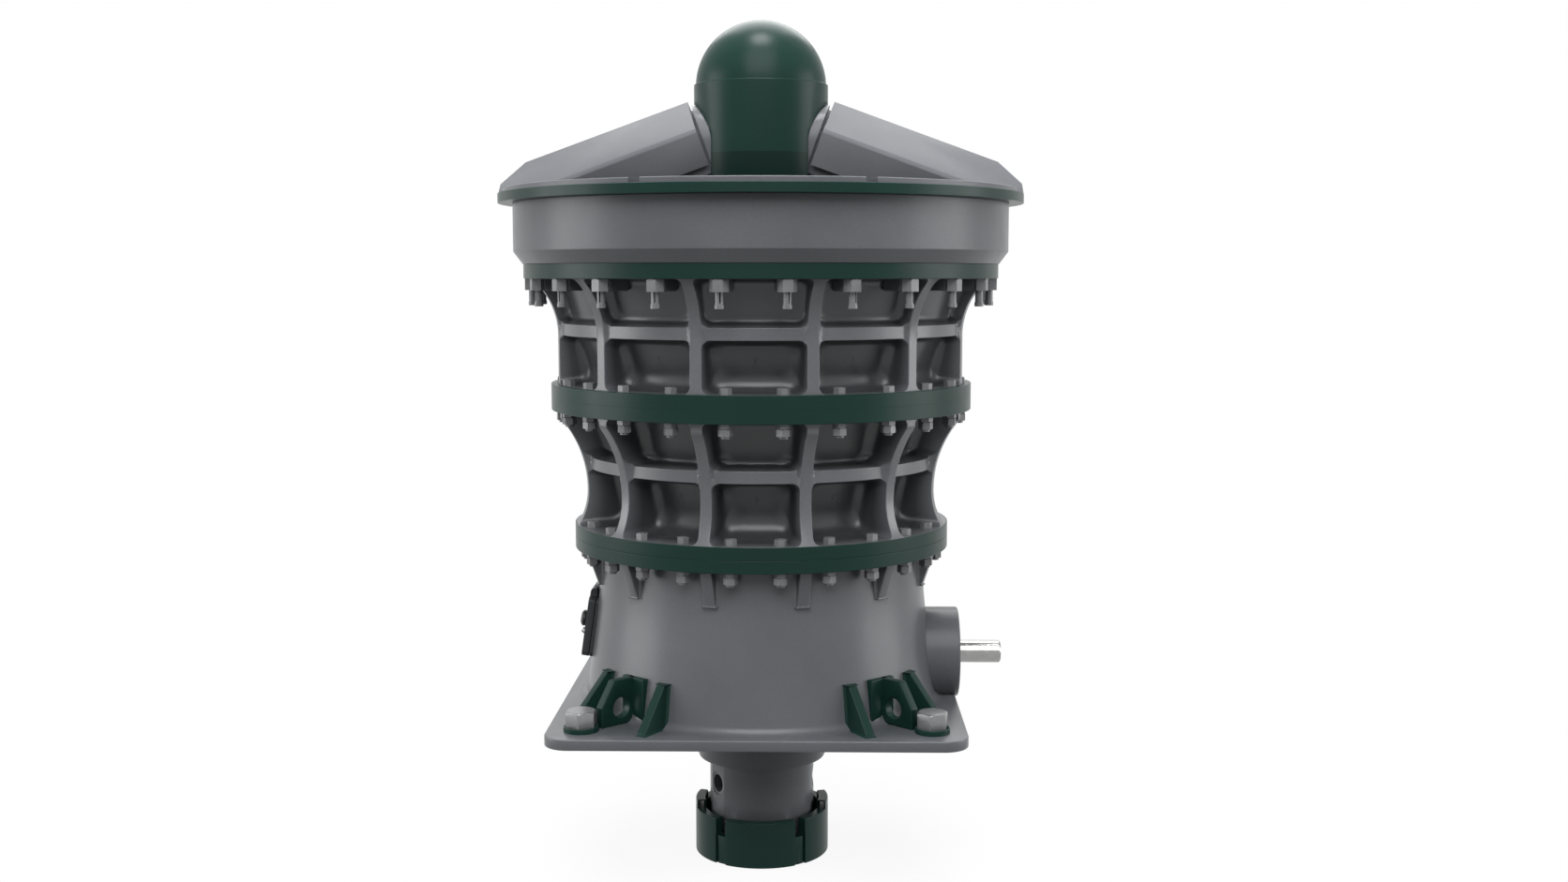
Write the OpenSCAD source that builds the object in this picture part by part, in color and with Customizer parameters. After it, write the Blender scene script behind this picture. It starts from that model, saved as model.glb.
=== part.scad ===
// Primary gyratory crusher: split cast shells with radial ribs under a two-arm spider,
// on a square base plate, with the adjusting cylinder hanging below it.
// Millimetres, +Z up. The origin is on the crusher's axis, on the floor under the base cap.
// -Y is the front, the pinion shaft leaves at +X and the inspection door is at -X.

/* [Base cap] */
// Gap between the adjusting cylinder and the wall of the cup under it
cup_gap = 45; // [15:5:115]
// Height of the cup wall above the floor
cap_h = 385; // [320:5:440]
// Thickness of the cup wall
cap_wall = 80; // [40:5:90]
// Thickness of the cup floor
cap_floor = 60; // [30:5:90]
// Depth of the four notches in the top edge of the cup
notch_h = 150; // [80:5:200]
// Width of each notch, in degrees round the axis
notch_deg = 10; // [6:1:14]
// Direction of each notch from the front and back, in degrees
notch_dir = 36; // [30:1:45]
// How far the wall is set back below each notch
notch_recess = 18; // [8:1:30]
// Height of the two side hoods above the cup wall
hood_h = 70; // [40:5:100]
// Width of each side hood, in degrees round the axis
hood_deg = 32; // [20:1:40]

/* [Adjusting cylinder] */
// Radius of the adjusting cylinder
cylinder_r = 445; // [400:5:460]
// Radius of the two service ports in the cylinder
port_r = 75; // [50:5:90]
// Depth of each service port
port_depth = 130; // [60:5:180]
// Height of the port centres above the floor
port_z = 630; // [560:1:680]
// Outer radius of the collar round the cylinder
collar_r = 545; // [500:5:600]
// Height of the collar
collar_h = 480; // [380:2:540]
// Height of the thin lip at the foot of the collar
lip_h = 14; // [8:1:24]

/* [Base plate] */
// Width of the square base plate
plate_w = 3280; // [3200:4:3600]
// Thickness of the base plate
plate_t = 86; // [70:1:140]
// Height of the underside of the base plate
plate_z = 1312; // [1200:1:1500]
// Corner radius of the base plate
plate_corner_r = 200; // [120:5:260]
// Radius of the discharge opening
discharge_r = 1280; // [1200:5:1300]
// Distance of the anchor bolts from the middle, along X and along Y
anchor_xy = 1365; // [1340:1:1380]
// Radius of the anchor bolt holes
anchor_hole_r = 80; // [60:1:90]

/* [Bottom shell] */
// Height of the bottom shell
bottom_h = 1270; // [1200:2:1500]
// Outer radius of the bottom shell at its top
bottom_top_r = 1359; // [1345:1:1400]
// Height of the waist, where the bottom shell starts to flare, above the base plate's top
bottom_waist_h = 850; // [840:5:900]
// Outer radius of the bottom shell at that waist
bottom_waist_r = 1370; // [1365:1:1385]
// Outer radius of the bottom shell at its foot, without the fillet
bottom_low_r = 1490; // [1480:1:1500]
// Radius of the fillet at the foot
bottom_foot_r = 60; // [30:5:80]
// Thickness of the ribs and gussets
rib_t = 93; // [70:1:110]
// Number of ribs on each shell
rib_count = 12; // [12]
// Height of the gussets under the top flange
gusset_h = 298; // [180:1:340]
// How far the gussets reach from the axis
gusset_reach = 1500; // [1480:1:1540]

/* [Flanges] */
// Thickness of the lower flange pair's rings
flange3_t = 103; // [80:1:120]
// Outer radius of the lower flange pair
flange3_r = 1570; // [1560:1:1700]
// Thickness of the middle flange pair's rings
flange2_t = 108; // [80:1:130]
// Outer radius of the middle flange pair
flange2_r = 1755; // [1740:1:1850]
// Thickness of the upper shell's top flange
flange1_t = 118; // [90:1:140]
// Outer radius of the upper shell's top flange
flange1_r = 1970; // [1940:1:1990]

/* [Lower top shell] */
// Height of the lower top shell between its flanges
lower_h = 950; // [850:5:1100]
// Outer radius of the pocket walls at the bottom
lower_wall_bottom_r = 1100; // [1080:1:1120]
// Outer radius of the pocket walls at the top
lower_wall_top_r = 1350; // [1330:1:1370]
// Radius to the rib edges at the waist
lower_waist_r = 1473; // [1460:1:1490]
// Height of the waist above the shell's bottom
lower_waist_h = 291; // [240:1:340]
// Radius of the rib curve above the waist
lower_curve_r = 908; // [880:1:1000]
// Radius of the rib curve below the waist
lower_foot_curve_r = 529; // [450:1:600]
// Greatest reach of the ribs at the top
lower_rib_top_r = 1690; // [1650:1:1700]
// Height of the middle ring's underside above the shell's bottom
lower_ring_z = 469; // [430:1:500]
// Outer radius of the middle ring
lower_ring_r = 1454; // [1440:1:1465]

/* [Upper top shell] */
// Height of the upper top shell between its flanges
upper_h = 861; // [820:1:1000]
// Outer radius of the pocket walls at the bottom
upper_wall_bottom_r = 1399; // [1380:1:1410]
// Outer radius of the pocket walls at the top
upper_wall_top_r = 1682; // [1670:1:1700]
// Radius to the rib edges below the curve
upper_rib_r = 1700; // [1695:1:1730]
// Radius of the rib curve below the top flange
upper_curve_r = 616; // [600:1:700]
// Height of the rib curve
upper_curve_h = 465; // [420:1:480]
// Height of the middle ring's underside above the shell's bottom
upper_ring_z = 401; // [380:1:420]
// Outer radius of the middle ring
upper_ring_r = 1675; // [1660:1:1690]
// Height of the middle rings
mid_ring_h = 99; // [80:1:120]
// Thickness of the shell walls behind the pockets
shell_wall = 90; // [60:5:110]

/* [Spider rim] */
// Height of the rim, from the upper shell to the rim flange
rim_h = 493; // [440:1:560]
// Height of the bevel at the foot of the rim
rim_bevel_h = 101; // [60:1:140]
// Radius at the foot of the bevel
rim_foot_r = 1975; // [1971:1:2000]
// Outer radius of the rim
rim_r = 2050; // [2030:1:2080]
// Inner radius of the rim at its top
rim_bore_r = 1780; // [1700:5:1850]
// Outer radius of the rim flange
rim_flange_r = 2170; // [2150:1:2300]
// Thickness of the rim flange
rim_flange_t = 78; // [60:1:100]
// Outer radius of the liner segments on the rim
liner_r = 2125; // [2100:1:2140]
// Inner radius of the liner segments on the rim
liner_bore_r = 1900; // [1850:5:1950]
// Height of the liner segments on the rim
liner_h = 41; // [30:1:60]
// Half of the angle that the front and back liner segments span
liner_front_deg = 22.5; // [18:0.5:28]
// Angle of the gaps between liner segments
liner_gap_deg = 2.5; // [1:0.5:5]
// Direction at which the side liner segments end, from the front
liner_end_deg = 77; // [70:1:78]

/* [Spider hub and cap] */
// Outer radius of the spider cap
hubcap_r = 555; // [530:5:620]
// Wall of the spider cap
hubcap_wall = 50; // [30:5:60]
// Height of the spider cap above the rim flange
hubcap_h = 904; // [860:2:1000]
// Half width of the arched doorways that the arms pass through
arch_half_w = 392; // [385:1:400]
// Height of the arches above the rim flange
arch_h = 747; // [740:1:760]
// Radius of the arches' upper corners
arch_corner_r = 330; // [280:5:350]
// Clearance round the arms in the arches
arch_gap = 14; // [8:1:30]
// How far the dome is set back from the cap's outside
dome_step = 15; // [5:5:40]
// Wall of the dome
dome_wall = 40; // [25:5:60]
// How far the dome's centre lies below the top of the cap
dome_sink = 15; // [0:1:30]
// Gap between the cap and the spider hub inside it
hub_gap = 25; // [15:5:65]
// Height of the hub's underside above the foot of the rim
hub_under_h = 230; // [200:5:260]
// Height of the hub's seat under the cap
hub_seat_h = 90; // [50:5:120]

/* [Spider arms] */
// Slope of the arm shields, in degrees
shield_slope = 20; // [15:1:22]
// Half width of the arm shields
shield_half_w = 395; // [360:5:420]
// Height of the shield's sides, square to the slope
shield_side_h = 297; // [240:1:340]
// Rise of the shield's ridge above its sides
shield_rise = 282; // [220:1:300]
// Distance from the cap to the inner end of the shield's ridge
shield_start = 56; // [45:1:85]
// Height of the inner end of the ridge above the rim flange
shield_ridge_h = 771; // [740:1:790]
// Distance from the axis to the outer end of the ridge
shield_ridge_end_x = 1965; // [1900:1:1980]
// Distance from the axis to the outer face of the shield
shield_end_x = 2150; // [2120:1:2160]
// Height of the outer face of the shield above its lower edge
shield_nose_h = 45; // [15:1:60]
// Plate thickness of the shields
shield_t = 40; // [25:5:60]
// Clearance between a shield and the arm in it
shield_gap = 25; // [15:5:35]

/* [Crushing chamber] */
// Thickness of the concave liners
concave_t = 100; // [70:5:120]
// Radius of the mantle at its widest
mantle_r = 770; // [740:5:780]
// Radius of the mantle at its top
mantle_top_r = 455; // [430:5:480]
// Height of the mantle's lower edge above the bottom shell's top
mantle_low_h = 30; // [20:5:60]
// Height of the mantle
mantle_h = 2210; // [2100:10:2240]
// Radius of the main shaft
shaft_r = 320; // [280:5:340]
// Radius of the head nut above the mantle
nut_r = 420; // [390:5:440]
// Height of the head nut
nut_h = 190; // [140:5:220]
// Outer radius of the bottom hub
bottom_hub_r = 620; // [600:5:660]
// Height of the bottom hub above the underside of the base plate
bottom_hub_h = 938; // [900:2:1100]
// Thickness of the four arms that hold the bottom hub
hub_arm_t = 140; // [110:5:145]
// Height of those arms
hub_arm_h = 640; // [560:5:700]
// Least gap between those arms and the pinion housing
hub_arm_gap = 5; // [3:1:10]

/* [Pinion] */
// Radius of the pinion housing
housing_r = 379; // [350:1:385]
// Height of the pinion axis above the base plate's top
pinion_h = 329; // [320:1:400]
// Distance from the axis to the housing's outer face
housing_end_x = 1670; // [1650:1:1760]
// Radius of the bore in the pinion housing
housing_bore_r = 150; // [130:5:180]
// Thickness of the cover ring at the housing's outer end
cover_t = 60; // [40:5:80]
// Radius of the cover ring
cover_r = 300; // [260:5:320]
// Radius of the pinion shaft
pinion_r = 95; // [80:1:100]
// Radius of the pinion shaft's journal, where it runs in the cover ring
journal_r = 104; // [101:1:110]
// How far the journal stands out of the cover ring
journal_out = 12; // [8:1:20]
// Running clearance of the journal in the cover ring
pinion_gap = 0.1; // [0.05:0.01:0.1]
// Distance from the axis to the outer end of the pinion shaft
pinion_end_x = 2036; // [2000:1:2100]
// Distance from the axis to the inner end of the pinion shaft
pinion_start_x = 760; // [720:5:820]
// Chamfer at the end of the pinion shaft
pinion_chamfer = 12; // [6:1:18]

/* [Inspection door] */
// Height of the door
door_h = 510; // [440:5:560]
// Width of the door
door_w = 480; // [420:5:520]
// Thickness of the door
door_t = 60; // [40:5:70]
// Height of the door's lower edge above the base plate's top
door_z = 328; // [300:1:340]
// Lean of the door, in degrees
door_lean = 8.2; // [8:0.1:8.6]
// Distance from the axis to the door's outer face at its lower edge
door_x = 1520; // [1518:1:1540]
// Corner radius of the door
door_corner_r = 50; // [30:5:70]
// Width of the wall round the inspection port, which is a piece of its own
port_wall_w = 620; // [600:10:900]
// Height of that wall's lower edge above the base plate's top
port_wall_z = 240; // [100:10:250]
// Height of that wall
port_wall_h = 660; // [640:10:800]
// Gap between the closed door and its frame
door_gap = 6; // [5:1:8]
// Width of the frame beyond the port on each side
frame_w = 70; // [50:5:80]
// Radius of the hinge knuckles
knuckle_r = 30; // [24:1:40]
// Radius of the hinge pin
hinge_pin_r = 16; // [12:1:18]
// Running clearance of the door's knuckles on the hinge pin
hinge_gap = 0.1; // [0.05:0.01:0.1]
// Length of each of the door's two knuckles
knuckle_l = 80; // [60:5:90]
// Radius of the door knob
knob_r = 70; // [40:5:80]
// Height of the knob above the door's lower edge, along the door
knob_h = 277; // [150:1:300]

/* [Corner brackets] */
// Thickness of the bracket's web
bracket_t = 74; // [50:1:80]
// Distance of the web's middle from the diagonal, towards the front or the back
bracket_off = 42; // [0:1:50]
// Height of the bracket above the base plate
bracket_h = 359; // [320:1:400]
// Distance from the axis to the outer end of the bracket's web
bracket_end = 1786; // [1770:1:1790]
// Height of the web's upright outer edge
bracket_nose_h = 160; // [120:1:180]
// Distance from the axis to the end of the web's flat top
bracket_top_end = 1658; // [1620:1:1680]
// Distance from the axis to the outer face of the cross plate
cross_face = 1480; // [1475:1:1540]
// Width of the cross plate
cross_w = 260; // [240:5:340]
// Distance of the cross plate's middle from the diagonal
cross_off = 78; // [0:1:90]
// Distance from the axis to the middle of the web's round hole
eye_dist = 1592; // [1580:1:1625]
// Height of the hole's middle above the base plate
eye_h = 136; // [120:1:160]
// Radius of the web's round hole
eye_r = 82; // [50:1:85]
// Radius of the washer disc under the anchor bolt
washer_r = 138; // [120:1:142]
// Thickness of the washer disc
washer_t = 40; // [25:1:50]
// Direction of the front and back gussets from each corner's diagonal, in degrees
front_gusset_deg = 15; // [14:0.1:17]
// Direction of the left and right gussets from each corner's diagonal, in degrees
flank_gusset_deg = 10.7; // [10:0.1:14]
// Height of the gussets on both sides of the brackets
side_gusset_h = 349; // [300:1:400]
// Distance from the axis to the outer end of the side gussets
side_gusset_end = 1765; // [1740:1:1770]
// Height of the side gussets' nose
side_gusset_nose_h = 20; // [10:1:30]
// Distance from the axis to the end of the side gussets' flat top
side_gusset_top_end = 1495; // [1480:1:1510]

/* [Hidden] */
$fn = 96;
fine = 720;
eps = 1;
green = [0.15, 0.23, 0.21];
grey = [0.40, 0.41, 0.42];
dark = [0.14, 0.15, 0.15];
steel = [0.62, 0.62, 0.63];

// Radii that follow from their neighbours, and the levels from the floor up.
cap_r = cylinder_r + cup_gap + cap_wall;
dome_r = hubcap_r - dome_step;
hub_r = hubcap_r - hubcap_wall - hub_gap;
shield_ridge_x = hubcap_r + shield_start;
plate_top = plate_z + plate_t;
bottom_top = plate_top + bottom_h;
bottom_waist_z = plate_top + bottom_waist_h;
flange3_mid = bottom_top + flange3_t;
lower_z = flange3_mid + flange3_t;
lower_top = lower_z + lower_h;
flange2_mid = lower_top + flange2_t;
upper_z = flange2_mid + flange2_t;
upper_top = upper_z + upper_h;
rim_z = upper_top + flange1_t;
rim_top = rim_z + rim_h;
liner_z = rim_top + rim_flange_t;
liner_top = liner_z + liner_h;
hubcap_top = liner_z + hubcap_h;
pinion_z = plate_top + pinion_h;
mantle_z = bottom_top + mantle_low_h;
nut_z = mantle_z + mantle_h;
hub_z = rim_z + hub_under_h;
bottom_hub_top = plate_z + bottom_hub_h;
collar_z = plate_z - collar_h;
quarter_turns = [0, 90, 180, 270];
corners = [45, 135, 225, 315];
rib_directions = [for (i = [0:rib_count - 1]) (i + 0.5) * 360 / rib_count];

// Radius at height z on the straight line through (r0, z0) and (r1, z1).
function on_line(z, r0, z0, r1, z1) = r0 + (z - z0) * (r1 - r0) / (z1 - z0);
// Outer radius of the bottom shell's plain wall.
function bottom_wall_r(z) = z < bottom_waist_z
    ? on_line(z, bottom_low_r, plate_top, bottom_waist_r, bottom_waist_z)
    : on_line(z, bottom_waist_r, bottom_waist_z, bottom_top_r, bottom_top);
// Bore of the lower and the upper top shell, which the concaves fill.
function lower_bore_r(z) = on_line(z, lower_wall_bottom_r, lower_z, lower_wall_top_r, lower_top) - shell_wall;
function upper_bore_r(z) = on_line(z, upper_wall_bottom_r, upper_z, upper_wall_top_r, upper_top) - shell_wall;
// Inward sag of a curve of radius r at distance d from its tangent point.
function sag(r, d) = r - sqrt(r * r - d * d);
// Reach of the ribs on the lower top shell: a waist with a curve above and below it.
function lower_rib_reach(z) =
    let (d = z - lower_z - lower_waist_h)
    min(lower_rib_top_r, lower_waist_r + sag(d > 0 ? lower_curve_r : lower_foot_curve_r, abs(d)));
// Reach of the ribs on the upper top shell: upright, then a curve out to the flange.
function upper_rib_reach(z) =
    let (d = max(0, z - (upper_top - upper_curve_h)))
    upper_rib_r + sag(upper_curve_r, d);
// n + 1 equal steps from a to b.
function steps(a, b, n) = [for (i = [0:n]) a + (b - a) * i / n];

// Ring between two radii, from z0 up to z1.
module ring(r_in, r_out, z0, z1) {
    rotate_extrude() translate([r_in, z0]) square([r_out - r_in, z1 - z0]);
}

// Ring whose bore is a cone from r0 at z0 to r1 at z1.
module cone_bored_ring(r0, r1, r_out, z0, z1) {
    rotate_extrude() polygon([[r0, z0], [r_out, z0], [r_out, z1], [r1, z1]]);
}

// Upright plate of thickness t that stands along +X, from an outline in distance and height.
module radial_plate(t, outline) {
    translate([0, t / 2, 0]) rotate([90, 0, 0]) linear_extrude(t) polygon(outline);
}

// Wedge of the whole height that spans the angles a0 to a1.
module sector(a0, a1, r) {
    middle = (a0 + a1) / 2;
    half = (a1 - a0) / 2;
    side = r / cos(half);
    rotate(middle) linear_extrude(hubcap_top)
        polygon([[0, 0], [side * cos(half), -side * sin(half)], [side * cos(half), side * sin(half)]]);
}

// Upright slabs of thickness t, of the whole height, that run out from the axis.
module slabs(t, directions) {
    for (a = directions) rotate(a) translate([0, -t / 2, -eps]) cube([rim_r, t, hubcap_top]);
}

// Radial plates of thickness t with the given outline in distance and height.
module radial_plates(t, directions, outline) {
    intersection() {
        rotate_extrude($fn = fine) polygon(outline);
        slabs(t, directions);
    }
}

// Ring between the ribs, from z0 up to z1, round the core that is the module's child.
module ring_between_ribs(r, z0, z1) {
    difference() {
        rotate_extrude($fn = fine) translate([r / 2, z0]) square([r / 2, z1 - z0]);
        slabs(rib_t, rib_directions);
        children();
    }
}

module square_with_corners(w, r) {
    half = w / 2 - r;
    difference() {
        square(w, center = true);
        for (a = quarter_turns) rotate(a) translate([half, half]) square(r + eps);
    }
    for (a = quarter_turns) rotate(a) translate([half, half]) circle(r);
}

// Foot: cup, cylinder and collar.

module cup_notches(r_in, r_out, z0, z1) {
    for (side = [0, 180], dir = [-notch_dir, notch_dir])
        intersection() {
            ring(r_in, r_out, z0, z1);
            sector(side + 90 + dir - notch_deg / 2, side + 90 + dir + notch_deg / 2, cap_r + 2 * eps);
        }
}

module cup_hoods() {
    hood_wall = cap_wall / 4;
    difference() {
        for (side = [0, 180]) intersection() {
            ring(cap_r - cap_wall, cap_r, cap_h - eps, cap_h + hood_h);
            sector(side - hood_deg / 2, side + hood_deg / 2, cap_r + eps);
        }
        ring(cap_r - cap_wall + hood_wall, cap_r - hood_wall, cap_h, cap_h + hood_h - hood_wall);
    }
}

module base_cap() {
    color(green) {
        difference() {
            union() {
                cylinder(r = cap_r, h = cap_floor);
                ring(cap_r - cap_wall, cap_r, cap_floor - eps, cap_h);
            }
            cup_notches(cap_r - cap_wall - eps, cap_r + eps, cap_h - notch_h, cap_h + eps);
            cup_notches(cap_r - notch_recess, cap_r + eps, -eps, cap_h);
        }
        cup_hoods();
    }
}

module adjusting_cylinder() {
    color(grey) difference() {
        translate([0, 0, cap_floor]) cylinder(r = cylinder_r, h = plate_z - cap_floor);
        for (a = [0, 213]) rotate(a) translate([cylinder_r - port_depth, 0, port_z])
            rotate([0, 90, 0]) cylinder(r = port_r, h = port_depth + eps);
    }
}

module cylinder_collar() {
    color(grey) union() {
        ring(cylinder_r, collar_r, collar_z + lip_h, plate_z);
        ring(cylinder_r, collar_r - lip_h / 2, collar_z, collar_z + lip_h + eps);
    }
}

// Base plate and bottom shell.

module base_plate() {
    color(grey) translate([0, 0, plate_z]) difference() {
        linear_extrude(plate_t) square_with_corners(plate_w, plate_corner_r);
        translate([0, 0, -eps]) cylinder(r = discharge_r, h = plate_t + 2 * eps);
        for (x = [-anchor_xy, anchor_xy], y = [-anchor_xy, anchor_xy])
            translate([x, y, -eps]) cylinder(r = anchor_hole_r, h = plate_t + 2 * eps);
    }
}

// Outline of the bottom shell's outside, from the foot fillet up to the flange.
function bottom_outline() = [
    for (a = [90:-15:0])
        let (z = plate_top + bottom_foot_r * (1 - sin(a)))
        [bottom_wall_r(z) + bottom_foot_r * (1 - cos(a)), z],
    [bottom_waist_r, bottom_waist_z],
    [bottom_top_r, bottom_top]
];

// Everything inside the bottom shell's outer surface.
module bottom_core() {
    rotate_extrude($fn = fine) polygon(concat([[0, plate_top]], bottom_outline(), [[0, bottom_top]]));
}

module bottom_wall() {
    difference() {
        rotate_extrude($fn = fine) polygon(concat([[discharge_r, plate_top]], bottom_outline(),
            [[discharge_r, bottom_top]]));
        translate([bottom_hub_r, 0, pinion_z]) rotate([0, 90, 0])
            cylinder(r = housing_r, h = housing_end_x - bottom_hub_r);
        door_port();
    }
}

// The block that parts the wall round the inspection port from the rest.
module port_block() {
    translate([-2 * bottom_low_r, -port_wall_w / 2, plate_top + port_wall_z])
        cube([2 * bottom_low_r, port_wall_w, port_wall_h]);
}

module bottom_shell() {
    color(grey) difference() {
        bottom_wall();
        port_block();
    }
}

module port_wall() {
    color(grey) intersection() {
        bottom_wall();
        port_block();
    }
}

// The gussets under the bottom shell's flange.
module bottom_shell_gussets() {
    z0 = bottom_top - gusset_h;
    color(grey) difference() {
        radial_plates(rib_t, rib_directions, [
            [discharge_r, z0], [bottom_wall_r(z0), z0], [bottom_wall_r(z0) + 20, z0 + 15],
            [gusset_reach, bottom_top], [discharge_r, bottom_top]]);
        bottom_core();
    }
}

module bottom_shell_flange() {
    color(green) ring(discharge_r, flange3_r, bottom_top, flange3_mid);
}

module lower_shell_bottom_flange() {
    ledge_r = lower_bore_r(lower_z) - concave_t;
    color(green) ring(ledge_r, flange3_r, flange3_mid, lower_z);
}

// Top shells.

module lower_shell_wall() {
    color(grey) rotate_extrude() polygon([
        [lower_bore_r(lower_z), lower_z], [lower_wall_bottom_r, lower_z],
        [lower_wall_top_r, lower_top], [lower_bore_r(lower_top), lower_top]]);
}

module lower_shell_ribs() {
    color(grey) radial_plates(rib_t, rib_directions, concat(
        [for (z = steps(lower_z, lower_top, 14)) [lower_rib_reach(z), z]],
        [[lower_wall_top_r, lower_top], [lower_wall_bottom_r, lower_z]]));
}

module lower_shell_ring() {
    ring_z = lower_z + lower_ring_z;
    color(grey) ring_between_ribs(lower_ring_r, ring_z, ring_z + mid_ring_h)
        rotate_extrude($fn = fine) polygon([
            [0, lower_z], [lower_wall_bottom_r, lower_z], [lower_wall_top_r, lower_top],
            [0, lower_top]]);
}

module lower_shell_top_flange() {
    color(green) cone_bored_ring(lower_bore_r(lower_top), lower_bore_r(flange2_mid), flange2_r,
        lower_top, flange2_mid);
}

module upper_shell_bottom_flange() {
    color(green) cone_bored_ring(upper_bore_r(flange2_mid), upper_bore_r(upper_z), flange2_r,
        flange2_mid, upper_z);
}

module upper_shell_wall() {
    color(grey) rotate_extrude() polygon([
        [upper_bore_r(upper_z), upper_z], [upper_wall_bottom_r, upper_z],
        [upper_wall_top_r, upper_top], [upper_bore_r(upper_top), upper_top]]);
}

module upper_shell_ribs() {
    color(grey) radial_plates(rib_t, rib_directions, concat(
        [[upper_rib_r, upper_z]],
        [for (z = steps(upper_top - upper_curve_h, upper_top, 8)) [upper_rib_reach(z), z]],
        [[upper_wall_top_r, upper_top], [upper_wall_bottom_r, upper_z]]));
}

module upper_shell_ring() {
    ring_z = upper_z + upper_ring_z;
    color(grey) ring_between_ribs(upper_ring_r, ring_z, ring_z + mid_ring_h)
        rotate_extrude($fn = fine) polygon([
            [0, upper_z], [upper_wall_bottom_r, upper_z], [upper_wall_top_r, upper_top],
            [0, upper_top]]);
}

module upper_shell_top_flange() {
    color(green) ring(upper_bore_r(upper_top) - concave_t, flange1_r, upper_top, rim_z);
}

// Spider rim and what lies on it.

// Outline of the rim, with its bevelled foot and conical bore.
function rim_outline() = [
    [upper_bore_r(upper_top) - concave_t, rim_z], [rim_foot_r, rim_z],
    [rim_r, rim_z + rim_bevel_h], [rim_r, rim_top], [rim_bore_r, rim_top]
];

module spider_rim() {
    color(grey) rotate_extrude() polygon(rim_outline());
}

module rim_flange() {
    color(green) ring(rim_bore_r, rim_flange_r, rim_top, liner_z);
}

// The six liner segments, three at the front and three at the back, clear of the shields.
module rim_liners() {
    start = liner_front_deg + liner_gap_deg;
    arcs = [[-liner_end_deg, -start], [-liner_front_deg, liner_front_deg], [start, liner_end_deg]];
    color(grey) intersection() {
        ring(liner_bore_r, liner_r, liner_z, liner_top, $fn = fine);
        for (side = [-90, 90], arc = arcs) sector(side + arc[0], side + arc[1], rim_flange_r);
    }
}

// Spider hub, arms, shields and cap.

// Doorway outline, w to each side, with round upper corners of radius r at height h.
module doorway(w, r, h) {
    translate([-w, -h]) square([2 * w, 2 * h - r]);
    translate([r - w, h - 2 * r]) square([2 * (w - r), 2 * r]);
    for (x = [r - w, w - r]) translate([x, h - r]) circle(r);
}

// Doorway outline at height z0, extruded along X from x0 to x1.
module doorway_along_x(w, r, h, z0, x0, x1) {
    translate([x0, 0, z0]) rotate([90, 0, 90]) linear_extrude(x1 - x0) doorway(w, r, h);
}

// Outline of the hub outside radius r: round edges, and a seat that the cap stands on.
function hub_outline(r) =
    let (round = 60, hub_top = liner_z + arch_h, seat_z = liner_z - hub_seat_h)
    [[r, hub_z], [hub_r - round, hub_z], [hub_r, hub_z + round], [hub_r, seat_z - round],
        [hubcap_r, seat_z], [hubcap_r, liner_z], [hub_r, liner_z], [hub_r, hub_top - round],
        [hub_r - round, hub_top], [r, hub_top]];

module spider_hub() {
    color(grey) rotate_extrude() polygon(hub_outline(shaft_r));
}

// Gabled outline of a shield, square to the slope, with its ridge at the origin.
// inset draws the outline that lies that far inside.
function gable(inset) =
    let (
        pitch = atan2(shield_rise, shield_half_w),
        w = shield_half_w - inset,
        peak = -inset / cos(pitch),
        eaves = peak - w * tan(pitch),
        low = -shield_rise - shield_side_h
    )
    [[0, peak], [w, eaves], [w, low - inset], [-w, low - inset], [-w, eaves]];

// Gabled beam down the slope from the ridge's inner end; back moves its start.
module gabled_beam(inset, back) {
    long = 2 * shield_end_x;
    translate([shield_ridge_x, 0, liner_z + shield_ridge_h]) rotate([0, shield_slope, 0])
        translate([-back, 0, 0]) rotate([90, 0, 90]) linear_extrude(long) polygon(gable(inset));
}

// What lies outside a shield's outer end: past its nose and over its chamfer.
module past_shield_end(inset) {
    nose_z = liner_top + shield_nose_h;
    drop = (shield_ridge_end_x - shield_ridge_x) * tan(shield_slope);
    ridge_end_z = liner_z + shield_ridge_h - drop;
    translate([-inset, 0, -inset]) radial_plate(2 * shield_end_x, [
        [shield_end_x, 0], [shield_end_x, nose_z], [shield_ridge_end_x, ridge_end_z],
        [shield_ridge_end_x, 2 * hubcap_top], [3 * shield_end_x, 2 * hubcap_top],
        [3 * shield_end_x, 0]]);
}

module below_level(z) {
    translate([-3 * rim_r, -3 * rim_r, z - 6 * rim_r]) cube(6 * rim_r);
}

module arm_shield() {
    color(grey) difference() {
        gabled_beam(0, 0);
        difference() {
            gabled_beam(shield_t, 2 * eps);
            past_shield_end(shield_t);
        }
        past_shield_end(0);
        below_level(liner_z);
    }
}

module spider_arm() {
    inset = shield_t + shield_gap;
    color(grey) difference() {
        intersection() {
            doorway_along_x(arch_half_w - arch_gap, arch_corner_r - arch_gap, arch_h - arch_gap,
                liner_z, hub_r / 2, shield_end_x);
            union() {
                gabled_beam(inset, shield_ridge_x);
                before_shield();
            }
        }
        past_shield_end(inset);
        rotate_extrude() polygon(hub_outline(0));
        rotate_extrude() polygon([
            [upper_bore_r(upper_top) - concave_t, rim_z], [rim_bore_r, rim_top],
            [rim_bore_r, liner_z], [2 * rim_flange_r, liner_z], [2 * rim_flange_r, rim_z]]);
        arm_underside();
    }
}

// The side of a shield's inner end that faces the hub, clear of the shield.
module before_shield() {
    translate([shield_ridge_x, 0, liner_z + shield_ridge_h]) rotate([0, shield_slope, 0])
        translate([-2 * rim_r - shield_gap, -rim_r, -rim_r]) cube(2 * rim_r);
}

// The hollow under an arm, a slope from the hub's foot up to the rim's top.
module arm_underside() {
    radial_plate(4 * shield_half_w, [
        [0, hub_z], [hub_r, hub_z], [hub_r + 200, hub_z + 60], [rim_bore_r, rim_top - 180],
        [2 * rim_r, rim_top - 180], [2 * rim_r, upper_z], [0, upper_z]]);
}

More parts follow.
